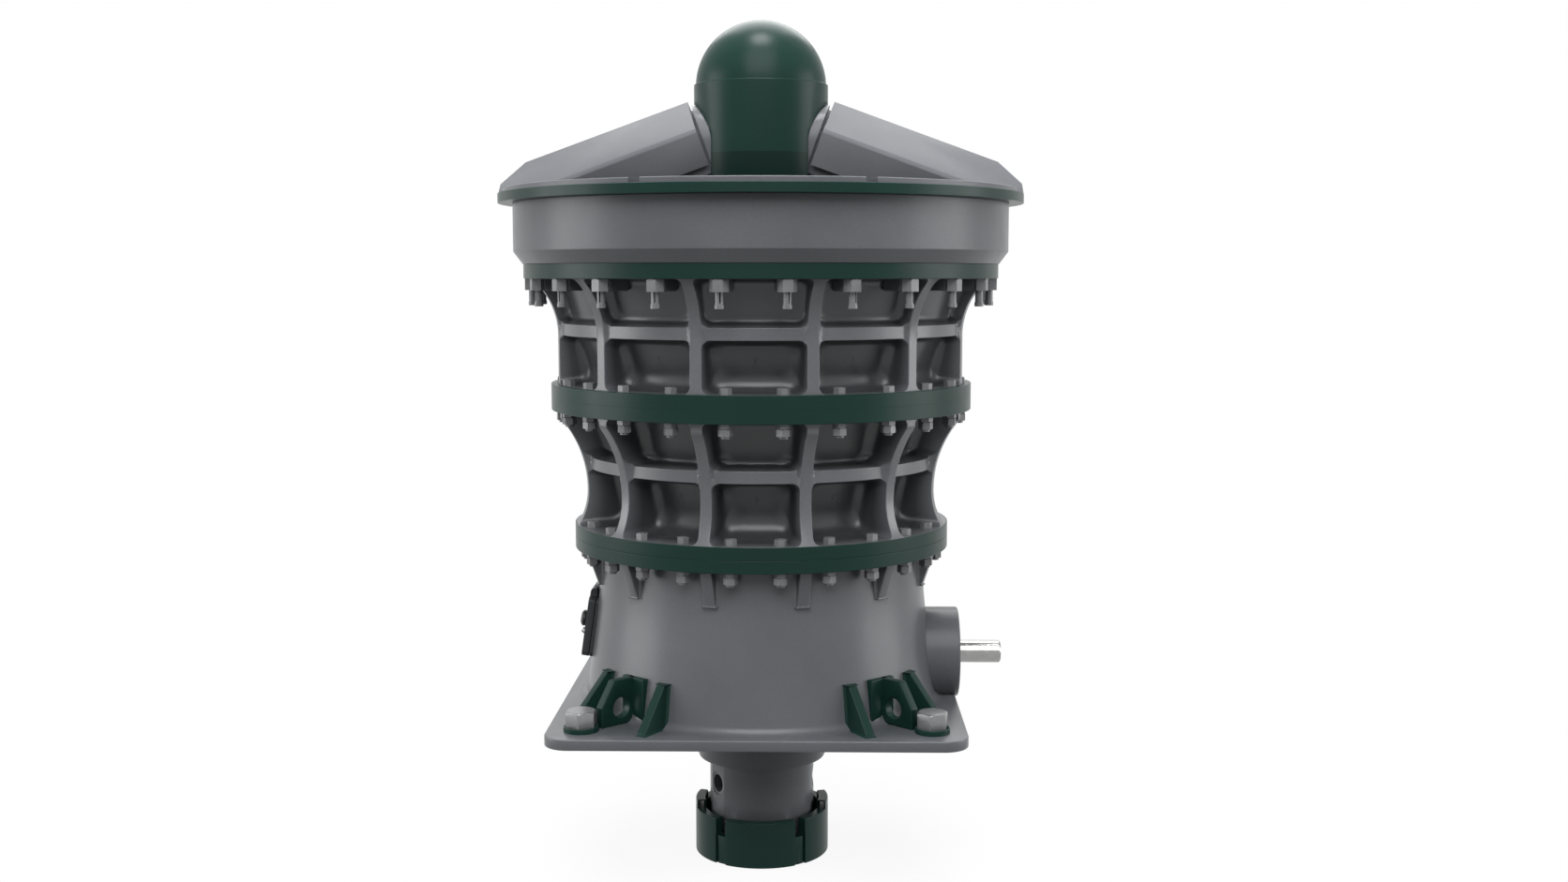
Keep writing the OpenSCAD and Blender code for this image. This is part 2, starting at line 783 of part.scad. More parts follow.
module spider_cap() {
    color(green) difference() {
        ring(hubcap_r - hubcap_wall, hubcap_r, liner_z, hubcap_top);
        doorway_along_x(arch_half_w, arch_corner_r, arch_h, liner_z, -2 * hubcap_r, 2 * hubcap_r);
    }
}

module cap_dome() {
    color(green) translate([0, 0, hubcap_top - dome_sink]) rotate_extrude() intersection() {
        difference() {
            circle(dome_r);
            circle(dome_r - dome_wall);
        }
        translate([0, dome_sink]) square(dome_r + eps);
    }
}

// Crushing chamber and the bottom hub.

module main_shaft() {
    color(steel) translate([0, 0, bottom_hub_top])
        cylinder(r = shaft_r, h = liner_z + arch_h - bottom_hub_top);
}

// Outline of the mantle: a skirt at its foot, then a cone that steepens upwards.
module mantle() {
    color(steel) rotate_extrude() polygon([
        [shaft_r, mantle_z], [mantle_r - 60, mantle_z], [mantle_r, mantle_z + 70],
        [mantle_r - 12, mantle_z + mantle_h * 0.1], [on_line(0.4, mantle_r, 0, mantle_top_r, 1) - 16,
            mantle_z + mantle_h * 0.4], [on_line(0.7, mantle_r, 0, mantle_top_r, 1) - 14,
            mantle_z + mantle_h * 0.7], [mantle_top_r, nut_z], [shaft_r, nut_z]]);
}

module head_nut() {
    color(steel) translate([0, 0, nut_z]) difference() {
        rotate_extrude() polygon([
            [shaft_r, 0], [nut_r, 0], [nut_r, nut_h - 50], [nut_r - 50, nut_h], [shaft_r, nut_h]]);
        for (a = [0:60:300]) rotate(a) translate([nut_r - 35, -45, 40])
            cube([60, 90, nut_h]);
    }
}

module lower_concaves() {
    color(steel) rotate_extrude() polygon([
        [lower_bore_r(lower_z), lower_z], [lower_bore_r(flange2_mid), flange2_mid],
        [lower_bore_r(flange2_mid) - concave_t, flange2_mid],
        [lower_bore_r(lower_z) - concave_t, lower_z]]);
}

module upper_concaves() {
    color(steel) rotate_extrude() polygon([
        [upper_bore_r(flange2_mid), flange2_mid], [upper_bore_r(upper_top), upper_top],
        [upper_bore_r(upper_top) - concave_t, upper_top],
        [upper_bore_r(flange2_mid) - concave_t, flange2_mid]]);
}

module bottom_hub() {
    color(grey) difference() {
        translate([0, 0, plate_z]) rotate_extrude() polygon([
            [0, 0], [bottom_hub_r, 0], [bottom_hub_r, bottom_hub_h - 120],
            [bottom_hub_r - 120, bottom_hub_h], [0, bottom_hub_h]]);
        translate([0, 0, pinion_z]) rotate([0, 90, 0]) cylinder(r = housing_bore_r, h = 2 * bottom_hub_r);
    }
}

module bottom_hub_arms() {
    far = 2 * discharge_r;
    color(grey) difference() {
        intersection() {
            for (a = quarter_turns) rotate(a + 45)
                radial_plate(hub_arm_t, [[0, plate_z], [far, plate_z], [far, plate_z + hub_arm_h],
                    [0, plate_z + hub_arm_h]]);
            ring(bottom_hub_r, discharge_r, plate_z - eps, bottom_top);
        }
        translate([0, 0, pinion_z]) rotate([0, 90, 0]) cylinder(r = housing_r + hub_arm_gap, h = far);
    }
}

// Pinion, along +X at height pinion_z. Its housing stands on the base plate, and its outer end
// reaches down past the plate's edge.

module pinion_housing() {
    edge = 18;
    color(grey) difference() {
        translate([0, 0, pinion_z]) rotate([0, 90, 0]) rotate_extrude() polygon([
            [housing_bore_r, bottom_hub_r / 2], [housing_r, bottom_hub_r / 2],
            [housing_r, housing_end_x - edge], [housing_r - edge, housing_end_x],
            [cover_r, housing_end_x], [cover_r, housing_end_x - cover_t],
            [housing_bore_r, housing_end_x - cover_t]]);
        translate([0, 0, plate_z]) cylinder(r = bottom_hub_r, h = bottom_hub_h);
        translate([0, -plate_w / 2, plate_top - 2 * housing_r]) cube([plate_w / 2, plate_w, 2 * housing_r]);
    }
}

module pinion_cover() {
    color(grey) translate([0, 0, pinion_z]) rotate([0, 90, 0])
        ring(journal_r + pinion_gap, cover_r, housing_end_x - cover_t, housing_end_x);
}

module pinion_shaft() {
    color(steel) translate([0, 0, pinion_z]) rotate([0, 90, 0]) rotate_extrude() polygon([
        [0, pinion_start_x], [journal_r, pinion_start_x],
        [journal_r, housing_end_x + journal_out], [pinion_r, housing_end_x + journal_out],
        [pinion_r, pinion_end_x - pinion_chamfer],
        [pinion_r - pinion_chamfer, pinion_end_x], [0, pinion_end_x]]);
}

// Inspection door, hung from a pin along Y above it. Its own frame has the lower edge of
// the outer face at the origin, +Z up the door and -X outwards.

module door_place() {
    translate([-door_x, 0, plate_top + door_z]) rotate([0, door_lean, 0]) children();
}

// Rounded panel from x0 to x1 in the door's frame, grown by more on every side.
module door_panel(more, x0, x1) {
    w = door_w + 2 * more;
    h = door_h + 2 * more;
    r = door_corner_r;
    translate([x0, 0, door_h / 2]) rotate([90, 0, 90]) linear_extrude(x1 - x0) {
        square([w - 2 * r, h], center = true);
        square([w, h - 2 * r], center = true);
        for (x = [r - w / 2, w / 2 - r], y = [r - h / 2, h / 2 - r]) translate([x, y]) circle(r);
    }
}

// The port through the frame and the shell's wall.
module door_port() {
    door_place() door_panel(-frame_w, 0, door_x - discharge_r + 200);
}

module hinge_cylinder(r, y0, y1) {
    translate([knuckle_r, y1, door_h + knuckle_r + door_gap]) rotate([90, 0, 0]) cylinder(r = r, h = y1 - y0);
}

module door_frame() {
    lug = door_w / 2 - 2 * knuckle_l;
    color(dark) difference() {
        door_place() {
            difference() {
                door_panel(0, door_t + door_gap, door_x - discharge_r);
                door_panel(-frame_w, 0, door_x);
            }
            difference() {
                union() {
                    hinge_cylinder(knuckle_r, -lug, lug);
                    translate([knuckle_r, -lug, door_h - frame_w / 2])
                        cube([door_t + door_gap + frame_w, 2 * lug, frame_w / 2 + 2 * knuckle_r + door_gap]);
                }
                door_panel(door_gap, -door_t, door_t + door_gap);
            }
            hinge_cylinder(hinge_pin_r, -lug - knuckle_l - door_gap, lug + knuckle_l + door_gap);
        }
        bottom_core();
    }
}

module inspection_door() {
    lug = door_w / 2 - 2 * knuckle_l + door_gap;
    color(dark) door_place() {
        door_panel(0, 0, door_t);
        difference() {
            for (y = [-lug - knuckle_l, lug]) union() {
                hinge_cylinder(knuckle_r, y, y + knuckle_l);
                translate([0, y, door_h - eps])
                    cube([door_t, knuckle_l, knuckle_r + door_gap + eps]);
            }
            hinge_cylinder(hinge_pin_r + hinge_gap, -door_w, door_w);
        }
    }
}

module door_knob() {
    stem = 15;
    color(dark) door_place() translate([0, 0, knob_h]) rotate([0, -90, 0]) rotate_extrude() polygon([
        [0, 0], [knob_r / 2, 0], [knob_r / 2, stem], [knob_r, stem + 10], [knob_r, stem + 35],
        [knob_r - 15, stem + 50], [0, stem + 50]]);
}

// Corner brackets and side gussets.

// One bracket on the diagonal at the angle direction. Its web and cross plate stand off the
// diagonal by their offsets, to the left for hand = 1 and to the right for hand = -1.
module corner_bracket(direction, hand) {
    bolt_dist = anchor_xy * sqrt(2);
    difference() {
        rotate(direction) difference() {
            union() {
                translate([0, hand * bracket_off, 0]) difference() {
                    radial_plate(bracket_t, [
                        [discharge_r, plate_top], [bracket_end, plate_top],
                        [bracket_end, plate_top + bracket_nose_h],
                        [bracket_top_end, plate_top + bracket_h],
                        [discharge_r, plate_top + bracket_h]]);
                    translate([eye_dist, bracket_t, plate_top + eye_h]) rotate([90, 0, 0])
                        cylinder(r = eye_r, h = 2 * bracket_t);
                }
                translate([cross_face - 2 * bracket_t, hand * cross_off - cross_w / 2, plate_top])
                    cube([2 * bracket_t, cross_w, bracket_h]);
                translate([bolt_dist, 0, plate_top]) cylinder(r = washer_r, h = washer_t);
                translate([bracket_end - eps, hand * bracket_off - bracket_t / 2, plate_top])
                    cube([bolt_dist - bracket_end - anchor_hole_r, bracket_t, washer_t]);
            }
            translate([bolt_dist, 0, plate_top - eps])
                cylinder(r = anchor_hole_r, h = washer_t + 2 * eps);
        }
        bottom_core();
    }
}

module corner_brackets() {
    color(green) {
        for (a = [45, 225]) corner_bracket(a, 1);
        for (a = [135, 315]) corner_bracket(a, -1);
    }
}

// The gussets on both sides of each corner bracket.
module side_gussets() {
    directions = [for (i = [0:3]) let (hand = i % 2 == 0 ? 1 : -1)
        each [corners[i] + hand * front_gusset_deg, corners[i] - hand * flank_gusset_deg]];
    color(green) difference() {
        radial_plates(rib_t * 0.8, directions, [
            [discharge_r, plate_top], [side_gusset_end, plate_top],
            [side_gusset_end, plate_top + side_gusset_nose_h],
            [side_gusset_top_end, plate_top + side_gusset_h],
            [discharge_r, plate_top + side_gusset_h]]);
        bottom_core();
    }
}

base_cap();
adjusting_cylinder();
cylinder_collar();
base_plate();
bottom_shell();
port_wall();
bottom_shell_gussets();
bottom_shell_flange();
lower_shell_bottom_flange();
lower_shell_wall();
lower_shell_ribs();
lower_shell_ring();
lower_shell_top_flange();
upper_shell_bottom_flange();
upper_shell_wall();
upper_shell_ribs();
upper_shell_ring();
upper_shell_top_flange();
spider_rim();
rim_flange();
rim_liners();
spider_hub();
mirror([1, 0, 0]) spider_arm();  // spider_arm_left
spider_arm();  // spider_arm_right
mirror([1, 0, 0]) arm_shield();  // arm_shield_left
arm_shield();  // arm_shield_right
spider_cap();
cap_dome();
main_shaft();
mantle();
head_nut();
lower_concaves();
upper_concaves();
bottom_hub();
bottom_hub_arms();
pinion_housing();
pinion_cover();
pinion_shaft();
door_frame();
inspection_door();
door_knob();
corner_brackets();
side_gussets();
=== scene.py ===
"""Looks of the gyratory crusher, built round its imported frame. Metres, +Z up, front at -Y."""
from math import asin, atan2, ceil, cos, degrees, hypot, pi, radians, sin, sqrt, tan

import bmesh
import bpy
from mathutils import Matrix, Vector


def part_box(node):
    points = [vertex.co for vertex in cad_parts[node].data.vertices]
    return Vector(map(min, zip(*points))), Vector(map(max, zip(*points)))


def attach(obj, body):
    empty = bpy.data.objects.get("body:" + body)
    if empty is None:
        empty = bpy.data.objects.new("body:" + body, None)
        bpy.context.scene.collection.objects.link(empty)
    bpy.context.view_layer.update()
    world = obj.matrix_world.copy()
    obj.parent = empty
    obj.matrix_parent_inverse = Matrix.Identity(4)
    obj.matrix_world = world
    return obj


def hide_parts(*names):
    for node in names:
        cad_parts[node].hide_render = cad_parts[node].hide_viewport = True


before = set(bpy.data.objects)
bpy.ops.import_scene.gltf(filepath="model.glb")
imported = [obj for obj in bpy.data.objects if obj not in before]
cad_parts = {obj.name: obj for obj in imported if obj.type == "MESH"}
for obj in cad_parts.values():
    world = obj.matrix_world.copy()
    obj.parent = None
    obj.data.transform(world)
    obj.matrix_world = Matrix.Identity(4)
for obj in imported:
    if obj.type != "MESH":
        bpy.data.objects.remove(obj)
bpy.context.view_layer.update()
SCENE = bpy.context.scene
EPS = 1e-6
RIBS = 12
HALF_BAY = pi / RIBS
RIB_T = 0.093
FLANGE_BOLTS = 24


def foot(node):
    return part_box(node)[0].z


def top(node):
    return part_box(node)[1].z


def reach(node):
    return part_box(node)[1].x


def srgb(*levels):
    """Linear colour from 8-bit levels."""
    return tuple((v / 12.92 if v <= 0.04045 else ((v + 0.055) / 1.055) ** 2.4)
                 for v in (level / 255 for level in levels)) + (1.0,)


# ---------------------------------------------------------------- finishes

BUMP_STRENGTH = 0.35
SPECKLE = 0.06


def added(tree, kind, sockets=(), **settings):
    """New node with its settings; each socket gets a value or the output that feeds it."""
    node = tree.nodes.new(kind)
    for key, value in settings.items():
        setattr(node, key, value)
    for key, value in dict(sockets).items():
        if isinstance(value, bpy.types.NodeSocket):
            tree.links.new(value, node.inputs[key])
        else:
            node.inputs[key].default_value = value
    return node


def ramp(tree, value, low, high, a, b):
    """From a at low to b at high."""
    return added(tree, "ShaderNodeMapRange", {"Value": value, "From Min": low, "From Max": high,
                                              "To Min": a, "To Max": b}).outputs["Result"]


def mix(tree, fac, a, b):
    """Colour a where fac is 0, b where it is 1."""
    return added(tree, "ShaderNodeMix", {0: fac, 6: a, 7: b}, data_type="RGBA").outputs[2]


def noise(tree, place, scale, detail):
    return added(tree, "ShaderNodeTexNoise", {"Vector": place, "Scale": scale, "Detail": detail,
                                              "Roughness": 0.55}).outputs["Fac"]


def finish(name, light, dark, rough, specular=0.5, metal=0.0, cloud=0.9, grain=260.0,
           bump=0.0003, worn=0.06, zone=None):
    """Paint or metal with slow clouds between two colours, a fine grain and uneven gloss."""
    mat = bpy.data.materials.new(name)
    mat.use_nodes = True
    tree = mat.node_tree
    shader = tree.nodes["Principled BSDF"].inputs
    shader["Metallic"].default_value = metal
    shader["Specular IOR Level"].default_value = specular
    place = added(tree, "ShaderNodeTexCoord").outputs["Object"]
    clouds = ramp(tree, noise(tree, place, cloud, 6.0), 0.32, 0.68, 0.0, 1.0)
    speckle = ramp(tree, noise(tree, place, grain * 0.35, 3.0), 0.35, 0.75, 1 - SPECKLE, 1 + SPECKLE)
    colour = added(tree, "ShaderNodeVectorMath", {0: mix(tree, clouds, dark, light),
                                                  "Scale": speckle}, operation="SCALE").outputs[0]
    if zone:
        colour = zone(tree, place, colour)
    gloss = ramp(tree, noise(tree, place, cloud * 5, 5.0), 0.3, 0.7, rough - worn, rough + worn)
    height = added(tree, "ShaderNodeBump", {"Strength": BUMP_STRENGTH, "Distance": bump,
                                            "Height": noise(tree, place, grain, 2.0)})
    tree.links.new(colour, shader["Base Color"])
    tree.links.new(gloss, shader["Roughness"])
    tree.links.new(height.outputs["Normal"], shader["Normal"])
    return mat


GREY = srgb(103, 105, 109)
GREY_DARK = srgb(92, 94, 98)
# Painted shade: the colour that the paint in the pockets darkens to.
POCKET_SHADE = srgb(58, 60, 63)
GREEN = srgb(24, 52, 46)
GREEN_DARK = srgb(21, 47, 42)
# Painted shade: the darker green of the spider cap's foot, and the heights of its sharp edge.
GREEN_FOOT_SHADE = srgb(15, 37, 32)
CAP_FOOT_LOW, CAP_FOOT_HIGH = 5.9165, 5.9185


def painted_pocket_shade(tree, place, colour):
    """Painted shade: the paint darkens deeper in the pockets, by the casting's own attribute of
    pocket depth.
    """
    inside = added(tree, "ShaderNodeAttribute", attribute_name="recess").outputs["Fac"]
    return mix(tree, inside, colour, POCKET_SHADE)


def painted_foot_shade(tree, place, colour):
    """Painted shade: a darker green on the foot of the spider cap, below a sharp line."""
    split = added(tree, "ShaderNodeSeparateXYZ", {0: place}).outputs["Z"]
    above = ramp(tree, split, CAP_FOOT_LOW, CAP_FOOT_HIGH, 0.0, 1.0)
    return mix(tree, above, GREEN_FOOT_SHADE, colour)


def green_rim(radius):
    """Green only near the flange's edge, grey inside it."""
    def zone(tree, place, colour):
        flat = added(tree, "ShaderNodeVectorMath", {0: place, 1: (1, 1, 0)}, operation="MULTIPLY")
        length = added(tree, "ShaderNodeVectorMath", {0: flat.outputs[0]}, operation="LENGTH")
        edge = ramp(tree, length.outputs["Value"], radius - 0.002, radius, 0.0, 1.0)
        return mix(tree, edge, GREY, colour)
    return zone


def green_finish(name, zone=None):
    return finish(name, GREEN, GREEN_DARK, 0.33, 0.13, worn=0.03, zone=zone)


grey_paint = finish("satin_grey_paint", GREY, GREY_DARK, 0.33, 0.22, worn=0.03)
# Casting paint, darkened in the pockets as painted shade.
cast_grey = finish("grey_casting_paint", GREY, GREY_DARK, 0.32, worn=0.02,
                   grain=150.0, bump=0.001, zone=painted_pocket_shade)
bottom_grey = finish("grey_bottom_shell_paint", srgb(97, 99, 103), srgb(87, 89, 93),
                     0.31, 0.4, worn=0.02, bump=0.0002)
green_paint = green_finish("satin_green_paint")
ring_grey = green_finish("green_and_grey_flange_paint", green_rim(1.500))
mid_grey = green_finish("green_and_grey_ring_paint", green_rim(1.690))
# Cap paint with a painted shade on its foot.
cap_green = green_finish("green_cap_paint", painted_foot_shade)
dark_paint = finish("dark_grey_paint", srgb(60, 62, 64), srgb(52, 54, 56),
                    0.4, 0.2)
bolt_paint = finish("grey_bolt_paint", srgb(122, 123, 125), srgb(108, 109, 111),
                    0.32, cloud=6.0)
bolt_steel = finish("zinc_plated_steel", srgb(137, 137, 138), srgb(129, 130, 132),
                    0.29, metal=0.5, cloud=2.0, worn=0.02, grain=120.0, bump=0.00003)
bright_steel = finish("ground_bright_steel", srgb(152, 152, 151),
                      srgb(143, 143, 142), 0.2, metal=1.0, cloud=5.0, grain=60.0, bump=0.00001,
                      worn=0.01)
liner_steel = finish("manganese_steel", srgb(92, 90, 87), srgb(70, 68, 66), 0.5,
                     metal=0.6, cloud=3.0, grain=90.0, bump=0.002)
black_plastic = finish("black_moulded_plastic", srgb(30, 31, 32),
                       srgb(24, 25, 26), 0.38, cloud=8.0, grain=500.0, bump=0.0002)


# ---------------------------------------------------------------- mesh making

def arc(centre, start, turn, steps):
    """Points on a circle from start, turned about centre."""
    spoke = start - centre
    return [centre + Matrix.Rotation(turn * k / steps, 2) @ spoke for k in range(steps + 1)]


def rounded(corners, step=15.0, guard=0.002):
    """Closed outline through (x, y, radius) corners, a guard point beside each."""
    points = []
    for i, (x, y, radius) in enumerate(corners):
        here = Vector((x, y))
        if radius <= 0:
            points.append(here)
            continue
        back = (Vector(corners[i - 1][:2]) - here).normalized()
        ahead = (Vector(corners[(i + 1) % len(corners)][:2]) - here).normalized()
        half = back.angle(ahead) / 2
        cut = radius / tan(half)
        centre = here + (back + ahead).normalized() * (radius / sin(half))
        turn = (pi - 2 * half) * (-1 if back.cross(ahead) > 0 else 1)
        steps = max(1, ceil(abs(degrees(turn)) / step))
        points += [here + back * (cut + guard), *arc(centre, here + back * cut, turn, steps),
                   here + ahead * (cut + guard)]
    return points


def band(n, a, b):
    """Faces between two rings of n points that start at a and at b."""
    return [(a + i, a + (i + 1) % n, b + (i + 1) % n, b + i) for i in range(n)]


def lofted(rings):
    """Closed shape through rings of points, its two ends capped."""
    n, last = len(rings[0]), len(rings) - 1
    faces = [face for k in range(last) for face in band(n, k * n, (k + 1) * n)]
    return [point for ring in rings for point in ring], \
        faces + [tuple(range(n)), tuple(range(last * n, (last + 1) * n))]


def lathe(outline, count=180, lying=False):
    """Closed outline of (radius, height) turned round +Z, or round +X when lying."""
    n, verts, faces = len(outline), [], []
    for k in range(count):
        a = 2 * pi * k / count
        for r, h in outline:
            c, s = max(r, 0.0) * cos(a), max(r, 0.0) * sin(a)
            verts.append((h, c, s) if lying else (c, s, h))
        faces += [face for face in band(n, k * n, (k + 1) % count * n)
                  if any(outline[i % n][0] > EPS for i in face[:2])]
    return verts, faces


def bend(radius, distance):
    """How far a concave curve of the radius stands out at a distance from its end."""
    return radius - sqrt(radius ** 2 - (radius - distance) ** 2) if distance < radius else 0.0


def web(reach_at, wall_at, z0, z1, half, root, edge, low_flare, high_flare, steps=26):
    """Upright plate out from the wall along +X, in level sections, flared at its ends."""
    rings = []
    for k in range(steps + 1):
        share = (1 - cos(pi * k / steps)) / 2
        z = z0 + (z1 - z0) * share
        flare = bend(low_flare, z - z0) + bend(high_flare, z1 - z)
        h, out, start = half + flare, reach_at(z) + flare, wall_at(z) - 0.003
        room = max(out - start, 0.002)
        r, e = min(root, room * 0.5), min(edge, room * 0.4)
        side = [(start - 0.03, h + r)]
        side += [(start + r - r * cos(t), h + r - r * sin(t))
                 for t in (pi / 2 * i / 6 for i in range(7))]
        side += [(out - e + e * sin(t), h - e + e * cos(t))
                 for t in (pi / 2 * i / 4 for i in range(5))]
        rings.append([(x, y, z) for x, y in side] + [(x, -y, z) for x, y in reversed(side)])
    return lofted(rings)


def joined(*parts):
    """One list of verts and faces from several."""
    verts, faces = [], []
    for more_verts, more_faces in parts:
        base = len(verts)
        verts += more_verts
        faces += [tuple(base + i for i in face) for face in more_faces]
    return verts, faces


def swept(outline, start, end, steps):
    """Closed outline of (radius, height) swept round +Z between two angles in degrees."""
    turns = [radians(start + (end - start) * k / steps) for k in range(steps + 1)]
    return lofted([[(r * cos(a), r * sin(a), z) for r, z in outline] for a in turns])


def prism(outline, z0, z1):
    """Outline of (x, y) extruded from z0 to z1."""
    return lofted([[(p[0], p[1], z) for p in outline] for z in (z0, z1)])


def box(x0, x1, y0, y1, z0, z1):
    return prism([(x0, y0), (x1, y0), (x1, y1), (x0, y1)], z0, z1)


FACING_X = Matrix(((0, 0, 1, 0), (1, 0, 0, 0), (0, 1, 0, 0), (0, 0, 0, 1)))


def at(x, y, z):
    return Matrix.Translation((x, y, z))


def placed(shape, matrix):
    verts, faces = shape
    return [tuple(matrix @ Vector(v)) for v in verts], faces


def turned(degree):
    return Matrix.Rotation(radians(degree), 4, "Z")


def upright(thickness, outline, direction=0.0, off=0.0):
    """Upright plate along a direction, from an outline in distance and height."""
    stand = turned(direction) @ at(0, off, 0) @ Matrix.Rotation(pi / 2, 4, "X")
    return placed(prism(outline, -thickness / 2, thickness / 2), stand)


def rod(radius, start, end, matrix, count=64):
    """Plain cylinder along the matrix's +X, a cutter."""
    return placed(lathe(block(0.0, radius, start, end), count, lying=True), matrix)


def block(r0, r1, z0, z1):
    """Rectangular outline of (radius, height)."""
    return [(r0, z0), (r1, z0), (r1, z1), (r0, z1)]


def hexagon(corner_r, z0, z1, low=True, high=True, steps=6, face=0.985):
    """Hexagon whose ends are turned off to cones, with a corner along +Y."""
    flat = corner_r * cos(pi / 6)
    cone = flat * face
    turns = [2 * pi * k / (6 * steps) for k in range(6 * steps)]
    around = [(a, flat / cos((a + pi / 6) % (pi / 3) - pi / 6)) for a in turns]

    def ring(z, turned_off, way):
        """Corners drop along the cone where the end is turned off."""
        return [(r * cos(a), r * sin(a), z + way * ((r - cone) * tan(pi / 6) if turned_off else 0))
                for a, r in around]

    def end(z, turned_off):
        return [[(cone * cos(a), cone * sin(a), z) for a in turns]] if turned_off else []

    return lofted(end(z0, low) + [ring(z0, low, 1), ring(z1, high, -1)] + end(z1, high))


def peg(radius, z0, z1, chamfer=0.003, count=32):
    """Upright round pin with both ends chamfered."""
    return lathe([(0, z0), (radius - chamfer, z0), (radius, z0 + chamfer), (radius, z1 - chamfer),
                  (radius - chamfer, z1), (0, z1)], count)


def linked(name, data):
    """Object with the data, in the scene."""
    obj = bpy.data.objects.new(name, data)
    SCENE.collection.objects.link(obj)
    return obj


def filled(verts, faces, recess=None):
    """Mesh in work from verts and faces, with each vert's share of the painted pocket shade."""
    bm = bmesh.new()
    layer = bm.verts.layers.float.new("recess") if recess else None
    made = [bm.verts.new(v) for v in verts]
    if recess:
        for vert, value in zip(made, recess):
            vert[layer] = value
    for face in faces:
        corners = [made[i] for i in face]
        if bm.faces.get(corners) is None:
            bm.faces.new(corners)
    return bm


def merged(bm, dist):
    """Joins points closer than dist and drops what collapses."""
    bmesh.ops.remove_doubles(bm, verts=bm.verts, dist=dist)
    bmesh.ops.dissolve_degenerate(bm, edges=bm.edges, dist=dist / 2)


def done(bm, name):
    """Object from a mesh in work."""
    mesh = bpy.data.meshes.new(name)
    bm.to_mesh(mesh)
    bm.free()
    return linked(name, mesh)


def solid(name, shape, recess=None):
    """Object from verts and faces, its doubles merged and its faces turned outwards."""
    bm = filled(*shape, recess)
    merged(bm, 1e-5)
    bmesh.ops.recalc_face_normals(bm, faces=bm.faces)
    return done(bm, name)


def as_one(name, pieces):
    """One object from several."""
    bm = bmesh.new()
    for piece in pieces:
        bm.from_mesh(piece.data)
        bpy.data.objects.remove(piece)
    return done(bm, name)


def settle(obj):
    """Applies the object's modifiers."""
    mesh = bpy.data.meshes.new_from_object(
        obj.evaluated_get(bpy.context.evaluated_depsgraph_get()))
    obj.modifiers.clear()
    mesh.name = obj.name
    obj.data = mesh
    return obj


def ease(obj, width, segments=2, angle=32.0):
    """Rounds the sharp edges."""
    bevel = obj.modifiers.new("ease", "BEVEL")
    bevel.width, bevel.segments, bevel.limit_method = width, segments, "ANGLE"
    bevel.angle_limit = radians(angle)
    bevel.miter_outer = "MITER_ARC"
    even = obj.modifiers.new("even", "WEIGHTED_NORMAL")
    even.keep_sharp = True
    shade(obj, angle)
    return settle(obj)


def cut(obj, *cutters):
    for cutter in cutters:
        tool = obj.modifiers.new("cut", "BOOLEAN")
        tool.operation, tool.solver, tool.object = "DIFFERENCE", "EXACT", cutter
    settle(obj)
    for cutter in cutters:
        bpy.data.objects.remove(cutter)
    return obj


def shade(obj, angle=35.0):
    mesh = obj.data
    mesh.polygons.foreach_set("use_smooth", [True] * len(mesh.polygons))
    mesh.set_sharp_from_angle(angle=radians(angle))
    return obj


def sliced(shape, *planes):
    """Closed shape cut by planes and capped; what lies along each plane's normal goes."""
    bm = filled(*shape)
    for point, normal in planes:
        split = bmesh.ops.bisect_plane(bm, geom=bm.verts[:] + bm.edges[:] + bm.faces[:],
                                       plane_co=point, plane_no=normal, clear_outer=True)
        rim = [item for item in split["geom_cut"] if isinstance(item, bmesh.types.BMEdge)]
        bmesh.ops.edgeloop_fill(bm, edges=rim)
    bm.verts.index_update()
    result = [tuple(v.co) for v in bm.verts], [tuple(v.index for v in f.verts) for f in bm.faces]
    bm.free()
    return result


def fit(obj, material, *nodes, body="frame", angle=35.0):
    """Gives the piece its finish and body, and hides the nodes that it stands for."""
    shade(obj, angle)
    obj.data.materials.clear()
    obj.data.materials.append(material)
    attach(obj, body)
    if nodes:
        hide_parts(*nodes)
    return obj


def copied(node):
    """Merged copy of a CAD node, its flat faces joined up."""
    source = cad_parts[node].data
    bm = filled([v.co for v in source.vertices], [p.vertices for p in source.polygons])
    merged(bm, 2e-5)
    bmesh.ops.dissolve_limit(bm, angle_limit=radians(0.6), verts=bm.verts, edges=bm.edges)
    return done(bm, node + "_finished")


# ---------------------------------------------------------------- repeating round the axis

